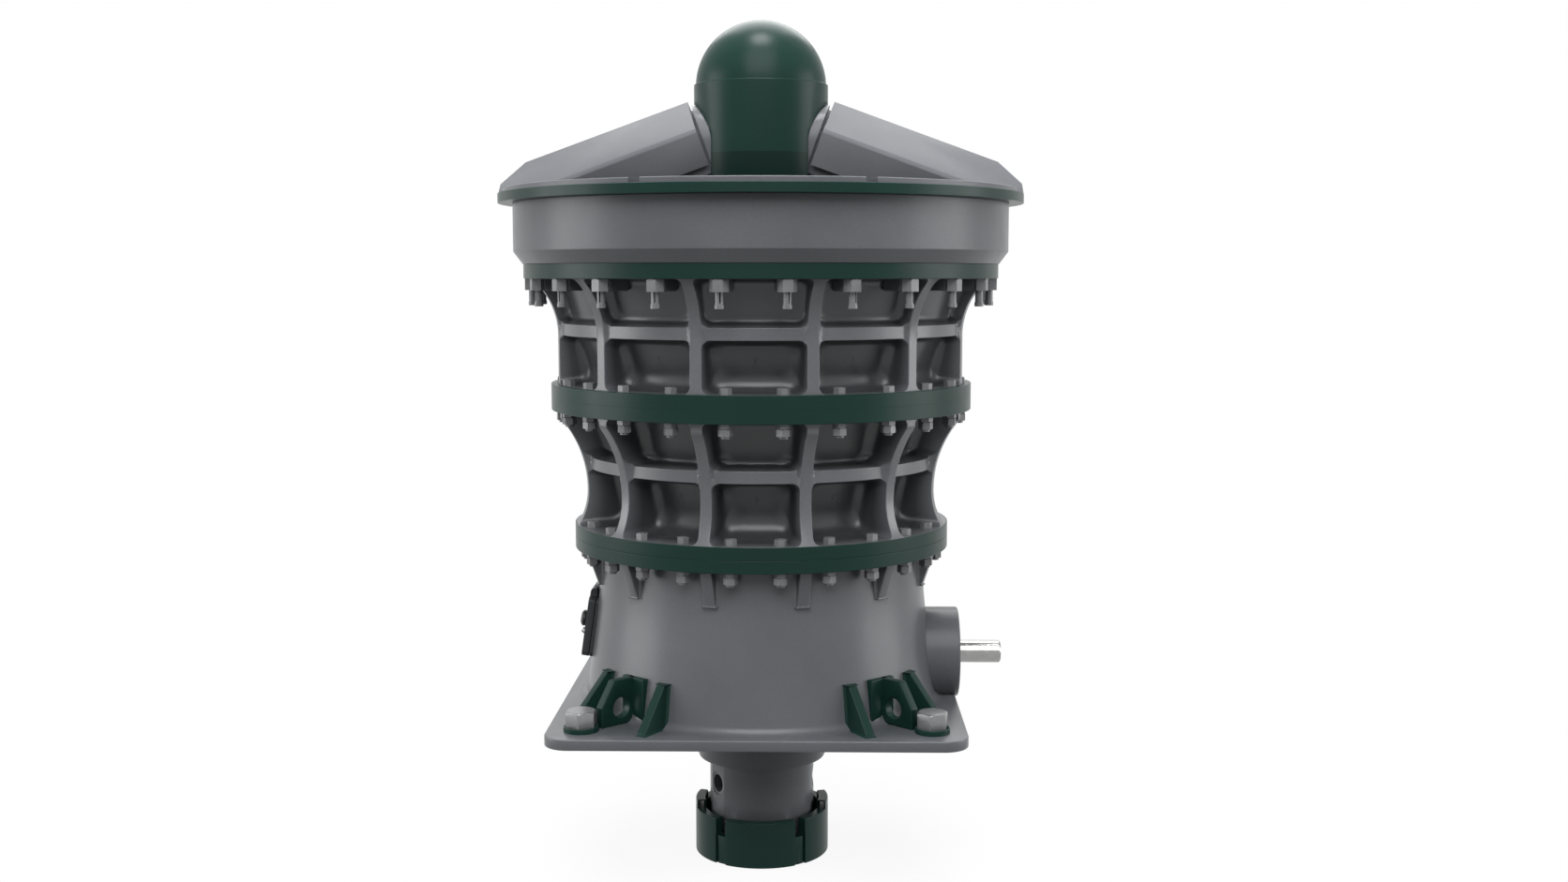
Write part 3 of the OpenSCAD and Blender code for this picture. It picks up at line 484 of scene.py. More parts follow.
def tree_round_axis():
    """Geometry nodes that set copies of a pattern on a circle round +Z, facing outwards."""
    tree = bpy.data.node_groups.new("round_the_axis", "GeometryNodeTree")
    face = tree.interface
    face.new_socket("Geometry", in_out="OUTPUT", socket_type="NodeSocketGeometry")
    for name, kind in (("Pattern", "Object"), ("Count", "Int"), ("Radius", "Float"),
                       ("Height", "Float"), ("First Angle", "Float"), ("Finish", "Material")):
        face.new_socket(name, in_out="INPUT", socket_type="NodeSocket" + kind)
    given = tree.nodes.new("NodeGroupInput").outputs

    def maths(operation, *values):
        return added(tree, "ShaderNodeMath", enumerate(values), operation=operation).outputs[0]

    def vector(**sockets):
        return added(tree, "ShaderNodeCombineXYZ", sockets).outputs[0]

    def geometry(kind, **sockets):
        return added(tree, "GeometryNode" + kind, sockets).outputs[0]

    turn = maths("DIVIDE", 2 * pi, given["Count"])
    angle = maths("ADD", maths("MULTIPLY", geometry("InputIndex"), turn), given["First Angle"])
    place = vector(X=maths("MULTIPLY", maths("COSINE", angle), given["Radius"]),
                   Y=maths("MULTIPLY", maths("SINE", angle), given["Radius"]), Z=given["Height"])
    pattern = added(tree, "GeometryNodeObjectInfo", {"Object": given["Pattern"]})
    points = geometry("Points", Count=given["Count"], Position=place)
    copies = geometry("InstanceOnPoints", Points=points, Instance=pattern.outputs["Geometry"],
                      Rotation=vector(Z=angle))
    coat = geometry("SetMaterial", Geometry=geometry("RealizeInstances", Geometry=copies),
                    Material=given["Finish"])
    added(tree, "NodeGroupOutput", {0: coat})
    return tree


ROUND_THE_AXIS = tree_round_axis()


def all_round(name, pattern, material, count, radius=0.0, height=0.0, first=0.0, nodes=(),
              merge=0.0, angle=35.0):
    """Plain mesh of the pattern repeated round the axis."""
    holder = linked(name, bpy.data.meshes.new(name))
    work = holder.modifiers.new("round", "NODES")
    work.node_group = ROUND_THE_AXIS
    values = {"Pattern": pattern, "Count": count, "Radius": radius, "Height": height,
              "First Angle": first, "Finish": material}
    for item in ROUND_THE_AXIS.interface.items_tree:
        if item.in_out == "INPUT":
            work[item.identifier] = values[item.name]
    settle(holder)
    bpy.data.objects.remove(pattern)
    bm = bmesh.new()
    bm.from_mesh(holder.data)
    if merge:
        loose = [vert for vert in bm.verts if not vert.link_faces]
        bmesh.ops.delete(bm, geom=loose, context="VERTS")
        bmesh.ops.remove_doubles(bm, verts=bm.verts, dist=merge)
        bmesh.ops.recalc_face_normals(bm, faces=bm.faces)
    bm.to_mesh(holder.data)
    bm.free()
    return fit(holder, material, *nodes, angle=angle)


# ---------------------------------------------------------------- top shell castings

CORNER, ACROSS, UPRIGHT, DEPTHS = 12, 12, 14, 13
EDGE_R = 0.006
SKIN = 0.001
WALL_T = 0.09
RING_H = top("lower_shell_ring") - foot("lower_shell_ring")


def sag(radius, distance):
    return radius - sqrt(max(radius * radius - distance * distance, 0.0))


def smooth_step(x):
    x = min(1.0, max(0.0, x))
    return x * x * (3 - 2 * x)


def shell_casting(part, rib_front, wall, cells):
    """Shell with twelve ribs and a middle ring; the pockets are lofted from mouth to wall."""
    ring_r, ring_mid = reach(part + "_ring"), foot(part + "_ring") + RING_H / 2

    def front(x, z):
        """Radius of the front surface at distance x from the rib's middle plane."""
        full = rib_front(z)
        near = 1 - smooth_step((abs(z - ring_mid) - RING_H / 2 - 0.06) / 0.02)
        beside = smooth_step((x - RIB_T / 2 + 0.002) / 0.026)
        return full - (full - ring_r) * beside * near

    def corner(a, square):
        """Cosine and sine of a corner's point, drawn out to a sharp corner as square nears 1."""
        out = max(cos(a), sin(a)) ** square
        return cos(a) / out, sin(a) / out

    def loop(cell, inset, low, high, low_r, high_r, depth, share, square=0.0):
        """Points of one rounded rectangle; inset is from the rib planes, low from the flange."""
        flange_z, sign, _ = cell

        def point(turn, x, h):
            """Front surface or behind it; turn is -1 at one rib and 1 at the next."""
            z = flange_z + sign * h
            r = rib_front(z)
            for _ in range(3):
                angle = turn * (HALF_BAY - asin(x / r))
                outer = front(r * sin(HALF_BAY - abs(angle)), z) - depth
                r = outer + (wall(z) - outer) * share
            return (r * cos(angle), r * sin(angle), z)

        low_arc = [(inset + low_r * (1 - c), low + low_r * (1 - s)) for c, s in
                   (corner(pi / 2 * (1 - k / CORNER), square) for k in range(CORNER + 1))]
        high_arc = [(inset + high_r * (1 - c), high - high_r * (1 - s)) for c, s in
                    (corner(pi / 2 * k / CORNER, square) for k in range(CORNER + 1))]
        rise = high - high_r - low - low_r
        column = low_arc + [(inset, low + low_r + rise * k / UPRIGHT)
                            for k in range(1, UPRIGHT)] + high_arc
        points = []
        for side, across_r, across in ((-1, high_r, high), (1, low_r, low)):
            points += [point(side, x, h) for x, h in column][::-side]
            points += [point(-side * (-1 + 2 * k / ACROSS), inset + across_r, across)
                       for k in range(1, ACROSS)]
        return points

    def on_seam(place):
        """Whether a point lies in the middle plane of a rib, where two bays meet."""
        return abs(abs(atan2(place[1], place[0])) - HALF_BAY) < 1e-6

    verts, faces, recess, ends = [], [], [], []
    half = RIB_T / 2
    for cell in cells:
        flange_z, _, plan = cell
        height = abs(ring_mid - flange_z)
        mouth = height - RING_H / 2
        loops = [(0, low, height, plan["foot_r"] + half, plan["ring_r"] + half, 0, 0, 1.0)
                 for low in (0, SKIN)]

        def grown(more, depth, share=0.0, square=0.0):
            return (half - more, SKIN, mouth + more, plan["foot_r"] + more, plan["ring_r"] + more,
                    depth, share, square)
        loops += [grown(more, 0.0, square=(more - 0.009) / (half - 0.009))
                  for more in (0.040, 0.030, 0.022, 0.015, EDGE_R + 0.003)]
        loops += [grown(EDGE_R * (1 - sin(a)), EDGE_R * (1 - cos(a)))
                  for a in (0, pi / 6, pi / 3, pi / 2)]
        loops.append(grown(0, EDGE_R + 0.003))
        for k in range(DEPTHS + 1):
            share = 1 - plan["start"] * (1 - sin(pi / 2 * k / DEPTHS))
            side_in, low_in, high_in = (
                bend(plan[edge + "_fillet"], (1 - share) * plan[edge + "_deep"])
                for edge in ("side", "foot", "ring"))
            ease_in = 1 + 0.6 * share
            loops.append((half + side_in, SKIN + low_in,
                          mouth - (high_in + plan["ring_slope"] * share),
                          plan["foot_r"] * ease_in, plan["ring_r"] * ease_in, EDGE_R, share))
        inset, low, high, low_r, high_r = loops[-1][:5]
        wide = wall(ring_mid) * sin(HALF_BAY)
        for closed in (0.5, 0.93):
            loops.append((inset + (wide - inset) * closed, low + (high - low) * 0.5 * closed,
                          high - (high - low) * 0.5 * closed, low_r * (1 - closed),
                          high_r * (1 - closed), EDGE_R, 1.0))
        first = len(verts)
        for values in loops:
            points = loop(cell, *values)
            size = len(points)
            verts += points
            depth, share = values[5], values[6]
            # Painted shade: how far into the pocket each point lies, which darkens its paint.
            recess += [smooth_step(share / 0.12) if share else 0.0] * size
        for k in range(len(loops) - 1):
            a, b = first + k * size, first + (k + 1) * size
            faces += [face for face in band(size, a, b) if not all(on_seam(verts[i]) for i in face)]
        end = [i for i in range(first, first + size) if abs(verts[i][2] - flange_z) < 1e-7]
        ends.append(sorted(end, key=lambda i: atan2(verts[i][1], verts[i][0])))
        last = first + (len(loops) - 1) * size
        faces.append(tuple(range(last, last + size)))
    rows = []
    for end in ends:
        row = range(len(verts), len(verts) + len(end))
        for x, y, z in [verts[i] for i in end]:
            bore, out = wall(z) - WALL_T, hypot(x, y)
            verts.append((x * bore / out, y * bore / out, z))
        recess += [0.0] * len(end)
        faces += [(end[i], end[i + 1], row[i + 1], row[i]) for i in range(len(end) - 1)]
        rows.append(row)
    faces += [(rows[0][i], rows[0][i + 1], rows[1][i + 1], rows[1][i])
              for i in range(min(len(row) for row in rows) - 1)]
    bay = solid(part + "_bay", (verts, faces), recess)
    nodes = [part + "_" + kind for kind in ("wall", "ribs", "ring")]
    return all_round(part + "_casting", bay, cast_grey, RIBS, nodes=nodes, merge=2e-5, angle=30)


def between(z, z0, r0, z1, r1):
    return r0 + (z - z0) * (r1 - r0) / (z1 - z0)


lower_z, lower_top = foot("lower_shell_wall"), top("lower_shell_wall")
upper_z, upper_top = foot("upper_shell_wall"), top("upper_shell_wall")


def lower_wall(z):
    return between(z, lower_z, 1.100, lower_top, 1.350)


def upper_wall(z):
    return between(z, upper_z, 1.399, upper_top, 1.682)


def lower_rib(z):
    d = z - lower_z - 0.291
    return min(1.690, 1.473 + sag(0.908 if d > 0 else 0.529, abs(d)))


def upper_rib(z):
    return 1.700 + sag(0.616, max(0.0, z - (upper_top - 0.465)))


def pocket(flange_z, sign, foot_r, foot_fillet, foot_deep, side_deep, ring_deep, ring_slope, start,
           side_fillet=0.09):
    """Row of pockets from a flange towards the ring, and how its fillets run into the wall."""
    return flange_z, sign, dict(foot_r=foot_r, foot_fillet=foot_fillet, foot_deep=foot_deep,
                                side_fillet=side_fillet, side_deep=side_deep, ring_r=0.057,
                                ring_fillet=0.04, ring_deep=ring_deep, ring_slope=ring_slope,
                                start=start)


LOWER_CELLS = [pocket(lower_z, 1, 0.057, 0.22, 0.44, 0.36, 0.21, 0.012, 0.55),
               pocket(lower_top, -1, 0.045, 0.06, 0.33, 0.28, 0.20, 0.022, 0.40)]
UPPER_CELLS = [pocket(upper_z, 1, 0.057, 0.15, 0.29, 0.23, 0.13, 0.010, 0.60),
               pocket(upper_top, -1, 0.043, 0.06, 0.22, 0.17, 0.12, 0.042, 0.60, 0.07)]
shell_casting("lower_shell", lower_rib, lower_wall, LOWER_CELLS)
shell_casting("upper_shell", upper_rib, upper_wall, UPPER_CELLS)


# ---------------------------------------------------------------- flanges, shells and rim

plate_z, plate_top = foot("base_plate"), top("base_plate")
bottom_top = foot("bottom_shell_flange")
rim_z, rim_top = foot("spider_rim"), top("spider_rim")
liner_z, liner_top = foot("rim_liners"), top("rim_liners")
cap_top = top("spider_cap")
LINER_T = 0.1
SHELL_BORE = 1.280
RIM_BORE, RIM_FOOT_R, RIM_R, BEVEL_H = 1.780, 1.975, 2.050, 0.101
WAIST_H, WAIST_R, FOOT_R, NECK_R, FOOT_FILLET = 0.850, 1.370, 1.490, 1.359, 0.06
DOOR_X, DOOR_H, DOOR_LEAN = -1.520, 0.328, radians(8.2)
PORT_HALF_W, PORT_LOW, PORT_HIGH, PORT_R = 0.17, 0.07, 0.44, 0.05
HOUSING_R, HOUSING_END, KNOB_H, LATCH_H = 0.379, 1.670, 0.277, 0.173


def lower_bore(z):
    return lower_wall(z) - WALL_T


def upper_bore(z):
    return upper_wall(z) - WALL_T


def bottom_wall(z):
    """Outside of the bottom shell: steep over the waist, flared under it, and smooth between."""
    waist = plate_top + WAIST_H
    upper = between(z, waist, WAIST_R, bottom_top, NECK_R)
    flare = between(z, plate_top, FOOT_R, waist, WAIST_R) - upper
    return upper + (flare + hypot(flare, 0.02)) / 2


def flange(node, bore_low, bore_high, low_edge=0.004, high_edge=0.004, material=green_paint):
    """Flange ring with rounded outer edges, in the place of its CAD node."""
    z0, z1, r = foot(node), top(node), reach(node)
    outline = rounded([(bore_low, z0, 0), (r, z0, low_edge), (r, z1, high_edge),
                       (bore_high, z1, 0)], step=30)
    return fit(solid(node + "_turned", lathe(outline, 240)), material, node)


lower_seat, upper_seat = lower_bore(lower_z) - LINER_T, upper_bore(upper_top) - LINER_T
flange("bottom_shell_flange", SHELL_BORE, SHELL_BORE, high_edge=0.006)
flange("lower_shell_bottom_flange", lower_seat, lower_seat, 0.002, material=ring_grey)
flange("lower_shell_top_flange", lower_bore(lower_top), lower_bore(top("lower_shell_top_flange")),
       high_edge=0.0008)
flange("upper_shell_bottom_flange", upper_bore(foot("upper_shell_bottom_flange")),
       upper_bore(upper_z), 0.0008, material=mid_grey)
flange("upper_shell_top_flange", upper_seat, upper_seat)
flange("rim_flange", RIM_BORE, RIM_BORE, high_edge=0.006)

rim_outline = rounded([(upper_seat, rim_z, 0), (RIM_FOOT_R, rim_z, 0.004),
                       (RIM_R, rim_z + BEVEL_H, 0.016), (RIM_R, rim_top, 0.003),
                       (RIM_BORE, rim_top, 0)], step=12)
fit(solid("spider_rim_turned", lathe(rim_outline, 240)), grey_paint, "spider_rim")


# Liner segments on the rim, three on each side of the arms.
segments = []
for side in (-90, 90):
    for start, end in ((-77, -25), (-22.5, 22.5), (25, 77)):
        body = rounded([(1.900, liner_z, 0), (2.125, liner_z, 0.003), (2.125, liner_top, 0.008),
                        (1.900, liner_top, 0.008)], step=30)
        segments.append(swept(body, side + start, side + end, int((end - start) * 1.5)))
fit(solid("rim_liner_segments", joined(*segments)), grey_paint, "rim_liners")


# Bottom shell: wall with its foot fillet, the port and the pinion's bore.
fillet = [(bottom_wall(plate_top + FOOT_FILLET * (1 - sin(a))) + FOOT_FILLET * (1 - cos(a)),
           plate_top + FOOT_FILLET * (1 - sin(a)))
          for a in (pi / 2 * (1 - k / 8) for k in range(9))]
heights = [plate_top + FOOT_FILLET + (bottom_top - plate_top - FOOT_FILLET) * k / 30
           for k in range(1, 31)]
wall_outline = [(SHELL_BORE, plate_top), *fillet, *((bottom_wall(z), z) for z in heights),
                (SHELL_BORE, bottom_top)]
bottom = solid("bottom_shell_wall", lathe(wall_outline, 240))
door_place = at(DOOR_X, 0, plate_top + DOOR_H) @ Matrix.Rotation(DOOR_LEAN, 4, "Y")
port = rounded([(-PORT_HALF_W, PORT_LOW, PORT_R), (PORT_HALF_W, PORT_LOW, PORT_R),
                (PORT_HALF_W, PORT_HIGH, PORT_R), (-PORT_HALF_W, PORT_HIGH, PORT_R)])
pinion_low, pinion_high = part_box("pinion_shaft")
along_x = at(0, 0, (pinion_low.z + pinion_high.z) / 2)
cut(bottom, solid("port_cutter", placed(prism(port, 0.0, 0.6), door_place @ FACING_X)),
    solid("bore_cutter", rod(HOUSING_R - 0.001, 1.0, 1.8, along_x, 96)))
fit(bottom, bottom_grey, "bottom_shell", "port_wall", angle=40)


gusset_z = foot("bottom_shell_gussets")
gusset = web(lambda z: between(z, gusset_z, bottom_wall(gusset_z) + 0.022, bottom_top, 1.497),
             bottom_wall, gusset_z, bottom_top, RIB_T / 2, 0.028, 0.009, 0.016, 0.024)
all_round("bottom_shell_gussets_cast", solid("gusset", gusset), bottom_grey, RIBS,
          first=HALF_BAY, nodes=("bottom_shell_gussets",), angle=40)


# ---------------------------------------------------------------- base plate and its corners

PLATE_CORNER, BOLT_XY, BOLT_SEAT = 0.2, 1.365, plate_top + 0.033
half = reach("base_plate")
plate_outline = rounded([(x, y, PLATE_CORNER) for x, y in
                         ((half, -half), (half, half), (-half, half), (-half, -half))],
                        step=5, guard=0.01)
plate = solid("base_plate_slab", prism(plate_outline, plate_z, plate_top))
cut(plate, solid("discharge", lathe(block(0, SHELL_BORE, plate_z - 1, plate_top + 1), 240)))
fit(ease(plate, 0.010, 3, 50), bottom_grey, "base_plate")

GUSSET_FOOT_X, GUSSET_TOP_X, GUSSET_T = 1.765, 1.495, 0.075
side_h = top("side_gussets") - plate_top


def side_reach(z):
    h = z - plate_top
    return min(GUSSET_FOOT_X, between(h, 0.020, GUSSET_FOOT_X, side_h, GUSSET_TOP_X))


side_shape = web(side_reach, bottom_wall, plate_top, plate_top + side_h, GUSSET_T / 2, 0.03,
                 0.008, 0.014, 0.014, steps=30)
CORNERS = ((225, 1), (315, -1), (135, -1), (45, 1))
gussets = [placed(side_shape, turned(a + hand * turn))
           for a, hand in sorted(CORNERS) for turn in (15, -10.7)]
fit(solid("side_gussets_cast", joined(*gussets)), green_paint, "side_gussets", angle=40)

BRACKET_IN, BRACKET_OUT, BRACKET_TOP_X, BRACKET_NOSE_H = 1.30, 1.786, 1.658, 0.160
WEB_T, WEB_OFF, EYE_X, EYE_H, EYE_R = 0.074, 0.042, 1.592, 0.136, 0.082
CROSS_IN, CROSS_OUT, CROSS_OFF, CROSS_HALF = 1.33, 1.480, 0.078, 0.130
DISC_R, DISC_T, DISC_RIM, DISC_SEAT_R = 0.138, 0.040, 0.124, 0.121
bracket_top = top("corner_brackets")
web_outline = rounded([(BRACKET_IN, plate_top, 0), (BRACKET_OUT, plate_top, 0),
                       (BRACKET_OUT, plate_top + BRACKET_NOSE_H, 0.022),
                       (BRACKET_TOP_X, bracket_top, 0.022), (BRACKET_IN, bracket_top, 0)], step=12)
disc = rounded([(0.0, plate_top, 0), (DISC_R, plate_top, 0), (DISC_R, plate_top + DISC_T, 0.005),
                (DISC_RIM, plate_top + DISC_T, 0.003), (DISC_SEAT_R, BOLT_SEAT, 0),
                (0.0, BOLT_SEAT, 0)], step=30, guard=0.0005)
brackets = []
for direction, hand in CORNERS:
    plate_web = solid("web", upright(WEB_T, web_outline, direction, hand * WEB_OFF))
    eye = turned(direction) @ at(EYE_X, 0, plate_top + EYE_H) @ turned(90)
    cut(plate_web, solid("eye", rod(EYE_R, -0.3, 0.3, eye, 56)))
    brackets.append(ease(plate_web, 0.006, 3, 40))
    cross = box(CROSS_IN, CROSS_OUT, hand * CROSS_OFF - CROSS_HALF, hand * CROSS_OFF + CROSS_HALF,
                plate_top, bracket_top)
    brackets.append(ease(solid("cross", placed(cross, turned(direction))), 0.008, 3, 40))
    where = turned(direction) @ at(BOLT_XY * sqrt(2), 0, 0)
    brackets.append(solid("disc", placed(lathe(disc, 72), where)))
fit(as_one("corner_brackets_cast", brackets), green_paint, "corner_brackets")


# ---------------------------------------------------------------- bolts and nuts

FIRST_BOLT = radians(7.5)
TOP_BOLT_R, MIDDLE_BOLT_R, LOWER_BOLT_R = 1.896, 1.659, 1.470
pin = solid("pin", lathe([(0, 0.0), (0.0315, 0.0), (0.0315, -0.186), (0.036, -0.188),
                          (0.036, -0.217), (0.033, -0.220), (0, -0.220)], 40))
cut(pin, solid("slot", placed(box(-0.2, 0.2, -0.0058, 0.0058, -0.176, -0.094), turned(22))))
nut = solid("nut", hexagon(0.073, -0.095, 0.0, low=False))
all_round("top_flange_nuts_and_pins", as_one("pattern", [pin, nut]), bolt_paint,
          FLANGE_BOLTS, TOP_BOLT_R, upper_top, FIRST_BOLT)
boss = ease(solid("boss", box(-0.236, -0.026, -0.065, 0.065, -0.092, 0.004)), 0.012, 3, 40)
all_round("top_flange_bosses_cast", boss, grey_paint, FLANGE_BOLTS, TOP_BOLT_R, upper_top,
          FIRST_BOLT)
for name, radius, over, under in (("middle_flange_bolts", MIDDLE_BOLT_R, upper_z, lower_top),
                                  ("lower_flange_bolts", LOWER_BOLT_R, lower_z, bottom_top)):
    stack = joined(hexagon(0.0500, over, over + 0.050, low=False),
                   hexagon(0.058, under - 0.039, under),
                   placed(hexagon(0.058, under - 0.097, under - 0.040), turned(11)),
                   peg(0.035, under - 0.115, under - 0.09))
    all_round(name, solid("stack", stack), bolt_paint, FLANGE_BOLTS, radius, 0.0, FIRST_BOLT)

heads = []
for x, y, turn in ((-1, -1, -2.6), (1, -1, -10.5), (-1, 1, -18.0), (1, 1, 5.0)):
    head = joined(hexagon(0.128, BOLT_SEAT, BOLT_SEAT + 0.132, low=False, steps=8, face=0.93),
                  lathe(block(0, 0.072, BOLT_SEAT - 0.11, BOLT_SEAT + 0.01), 48))
    heads.append(solid("head", placed(head, at(x * BOLT_XY, y * BOLT_XY, 0) @ turned(turn))))
fit(ease(as_one("anchor_bolts", heads), 0.0025, 2, 20), bolt_steel)


# ---------------------------------------------------------------- cylinder, collar and base cap

CYLINDER_R, CYLINDER_PORT_Z, PORT_SEAT_X = 0.445, 0.630, 0.434
cylinder_foot = foot("adjusting_cylinder")
cylinder = solid("adjusting_cylinder_turned", lathe(rounded(
    [(0, cylinder_foot, 0), (CYLINDER_R, cylinder_foot, 0), (CYLINDER_R, plate_z, 0),
     (0, plate_z, 0)], step=30), 180))
cutters = []
for a in (0, 213):
    face = turned(a) @ at(0, 0, CYLINDER_PORT_Z)
    cutters += [solid("port", rod(0.075, 0.30, 0.6, face, 70)),
                solid("spot", rod(0.098, PORT_SEAT_X, 0.62, face, 74))]
cut(cylinder, *cutters)
fit(ease(cylinder, 0.004, 2, 40), grey_paint, "adjusting_cylinder")

collar_z = foot("cylinder_collar")
collar = rounded([(CYLINDER_R, collar_z, 0), (0.538, collar_z, 0.004),
                  (0.538, collar_z + 0.014, 0), (0.545, collar_z + 0.016, 0.004),
                  (0.545, plate_z, 0), (CYLINDER_R, plate_z, 0)], step=30, guard=0.0003)
fit(solid("cylinder_collar_turned", lathe(collar, 180)), grey_paint, "cylinder_collar")

CAP_R, CAP_H, CAP_WALL, CAP_FLOOR = 0.570, 0.385, 0.080, 0.060
NOTCH_AT, HOOD_H, HOOD_SKIN, HOOD_HALF = 36, 0.070, 0.010, 16
cup = solid("base_cap_cast", lathe(rounded(
    [(0, 0, 0), (CAP_R, 0, 0.006), (CAP_R, CAP_H, 0.007), (CAP_R - CAP_WALL, CAP_H, 0.007),
     (CAP_R - CAP_WALL, CAP_FLOOR, 0.02), (0, CAP_FLOOR, 0)], step=30), 240))
cutters = []
for side in (-90, 90):
    for hand in (-1, 1):
        middle = side + hand * NOTCH_AT
        for name, outline, centre, spread, steps in (
                ("notch", block(0.45, 0.62, CAP_H - 0.150, CAP_H + 0.1), middle, 5, 6),
                ("facet", block(0.552, 0.63, -0.12, CAP_H - 0.14), middle, 5.2, 6),
                ("groove", block(0.530, 0.64, -0.11, CAP_H - 0.13), middle + hand * 5, 0.5, 2)):
            cutters.append(solid(name, swept(outline, centre - spread, centre + spread, steps)))
cut(cup, *cutters)
z0, z1, skin = CAP_H - 0.01, CAP_H + HOOD_H, HOOD_SKIN
outer, inner = CAP_R - 0.001, CAP_R - CAP_WALL + 0.001
hood = rounded([(outer, z0, 0), (outer, z1, 0.014), (inner, z1, 0.014), (inner, z0, 0),
                (inner + skin, z0, 0), (inner + skin, z1 - skin, 0.006),
                (outer - skin, z1 - skin, 0.006), (outer - skin, z0, 0)], step=30)
hoods = [ease(solid("hood", swept(hood, side - HOOD_HALF, side + HOOD_HALF, 30)), 0.002, 2, 40)
         for side in (0, 180)]
fit(as_one("base_cap_finished", [ease(cup, 0.0025, 2, 40), *hoods]), green_paint,
    "base_cap", angle=40)


# ---------------------------------------------------------------- spider cap, dome, hub and arms

CAP_OUTER, CAP_INNER, ARCH_W, ARCH_Z, ARCH_R = 0.555, 0.505, 0.392, liner_z + 0.747, 0.330
DOME_R, DOME_T = 0.540, 0.040
tube = solid("spider_cap_turned", lathe(rounded(
    [(CAP_INNER, liner_z, 0), (CAP_OUTER, liner_z, 0), (CAP_OUTER, cap_top, 0.008),
     (CAP_INNER, cap_top, 0)], step=30), 240))
doorway = rounded([(-ARCH_W, liner_z - 0.2, 0), (ARCH_W, liner_z - 0.2, 0),
                   (ARCH_W, ARCH_Z, ARCH_R), (-ARCH_W, ARCH_Z, ARCH_R)], step=5)
cut(tube, solid("doorway", placed(prism(doorway, -0.8, 0.8), FACING_X)))
fit(ease(tube, 0.009, 3, 40), cap_green, "spider_cap", angle=40)

dome_z = cap_top - 0.015
lip = asin(0.015 / DOME_R)
inner_lip = lip * 1.08
dome = [(DOME_R * cos(a), dome_z + DOME_R * sin(a))
        for a in (lip + (pi / 2 - lip) * k / 48 for k in range(49))]
dome += [((DOME_R - DOME_T) * cos(a), dome_z + (DOME_R - DOME_T) * sin(a))
         for a in (pi / 2 + (inner_lip - pi / 2) * k / 24 for k in range(25))]
fit(solid("dome_pressed", lathe(dome, 180)), green_paint, "cap_dome", angle=30)

fit(ease(copied("spider_hub"), 0.012, 3, 25), grey_paint, "spider_hub", angle=40)
for side in ("left", "right"):
    arm = copied("spider_arm_" + side)
    fit(ease(arm, 0.030, 4, 40), grey_paint, "spider_arm_" + side, angle=40)


SLOPE, SHIELD_W, RISE, SIDE_H, SHIELD_T = radians(20), 0.395, 0.282, 0.297, 0.016
FOLD_R, RIDGE_END_X = 0.05, 1.965
RIDGE = Vector((0.611, 0, liner_z + 0.771))
roof_pitch = Vector((SHIELD_W, RISE)).angle(Vector((1, 0)))
ridge_end = Vector((RIDGE_END_X, 0, RIDGE.z - (RIDGE_END_X - RIDGE.x) * tan(SLOPE)))
nose = Vector((2.150, 0, liner_top + 0.045))
chamfer = Vector((ridge_end.z - nose.z, 0, nose.x - ridge_end.x)).normalized()


def gable(inset):
    """Gabled section of a shield, its ridge at the origin, the folds rounded."""
    w, fold = SHIELD_W - inset, FOLD_R - inset
    peak = -inset / cos(roof_pitch)
    eaves = peak - w * tan(roof_pitch)
    low = -RISE - SIDE_H - inset
    return rounded([(0, peak, 0.006), (-w, eaves, fold), (-w, low, 0), (w, low, 0),
                    (w, eaves, fold)], step=9)


def beam(inset, start):
    """The shield as a filled solid from start along its ridge, drawn in by the inset."""
    down = Matrix.Translation(RIDGE) @ Matrix.Rotation(SLOPE, 4, "Y")
    shape = placed(prism(gable(inset), start, 2.2), down @ FACING_X)
    back = Vector((inset, 0, inset))
    ground = Vector((0, 0, liner_z - (0.01 if inset else 0)))
    return sliced(shape, (nose - back, Vector((1, 0, 0))), (nose - back, chamfer),
                  (ground, Vector((0, 0, -1))))


for side, hand in (("left", -1), ("right", 1)):
    flip = Matrix.Diagonal((hand, 1, 1, 1))
    shield = solid("arm_shield_" + side + "_bent", placed(beam(0.0, 0.0), flip))
    cut(shield, solid("inside", placed(beam(SHIELD_T, -0.1), flip)))
    fit(ease(shield, 0.003, 2, 25), grey_paint, "arm_shield_" + side, angle=25)


# ---------------------------------------------------------------- pinion, door and the inside

def lying(name, outline, count=128):
    """Piece turned round the pinion's axis."""
    return solid(name, placed(lathe(outline, count, lying=True), along_x))


housing = rounded([(0.150, 0.55, 0), (HOUSING_R, 0.55, 0), (HOUSING_R, HOUSING_END, 0.016),
                   (0.300, HOUSING_END, 0.004), (0.300, 1.602, 0), (0.150, 1.602, 0)], step=15)
house = lying("pinion_housing_turned", housing, 180)
cut(house, solid("plate_room", box(0, half, -half, half, 1, plate_top)))
fit(house, grey_paint, "pinion_housing", angle=40)
cover = rounded([(0.1045, 1.610, 0), (0.299, 1.610, 0), (0.299, HOUSING_END, 0.006),
                 (0.170, HOUSING_END, 0.004), (0.160, 1.662, 0.003), (0.118, 1.662, 0.003),
                 (0.1045, 1.667, 0)], step=20, guard=0.0005)
fit(lying("pinion_cover_turned", cover), grey_paint, "pinion_cover")
shaft = rounded([(0, 0.760, 0), (0.104, 0.760, 0.006), (0.104, 1.682, 0.004), (0.095, 1.685, 0.003),
                 (0.095, 2.024, 0.002), (0.083, 2.036, 0.002), (0.024, 2.036, 0.001),
                 (0.010, 2.020, 0), (0, 2.020, 0)], step=20, guard=0.0004)
fit(lying("pinion_shaft_turned", shaft), bright_steel, "pinion_shaft", body="pinion", angle=25)

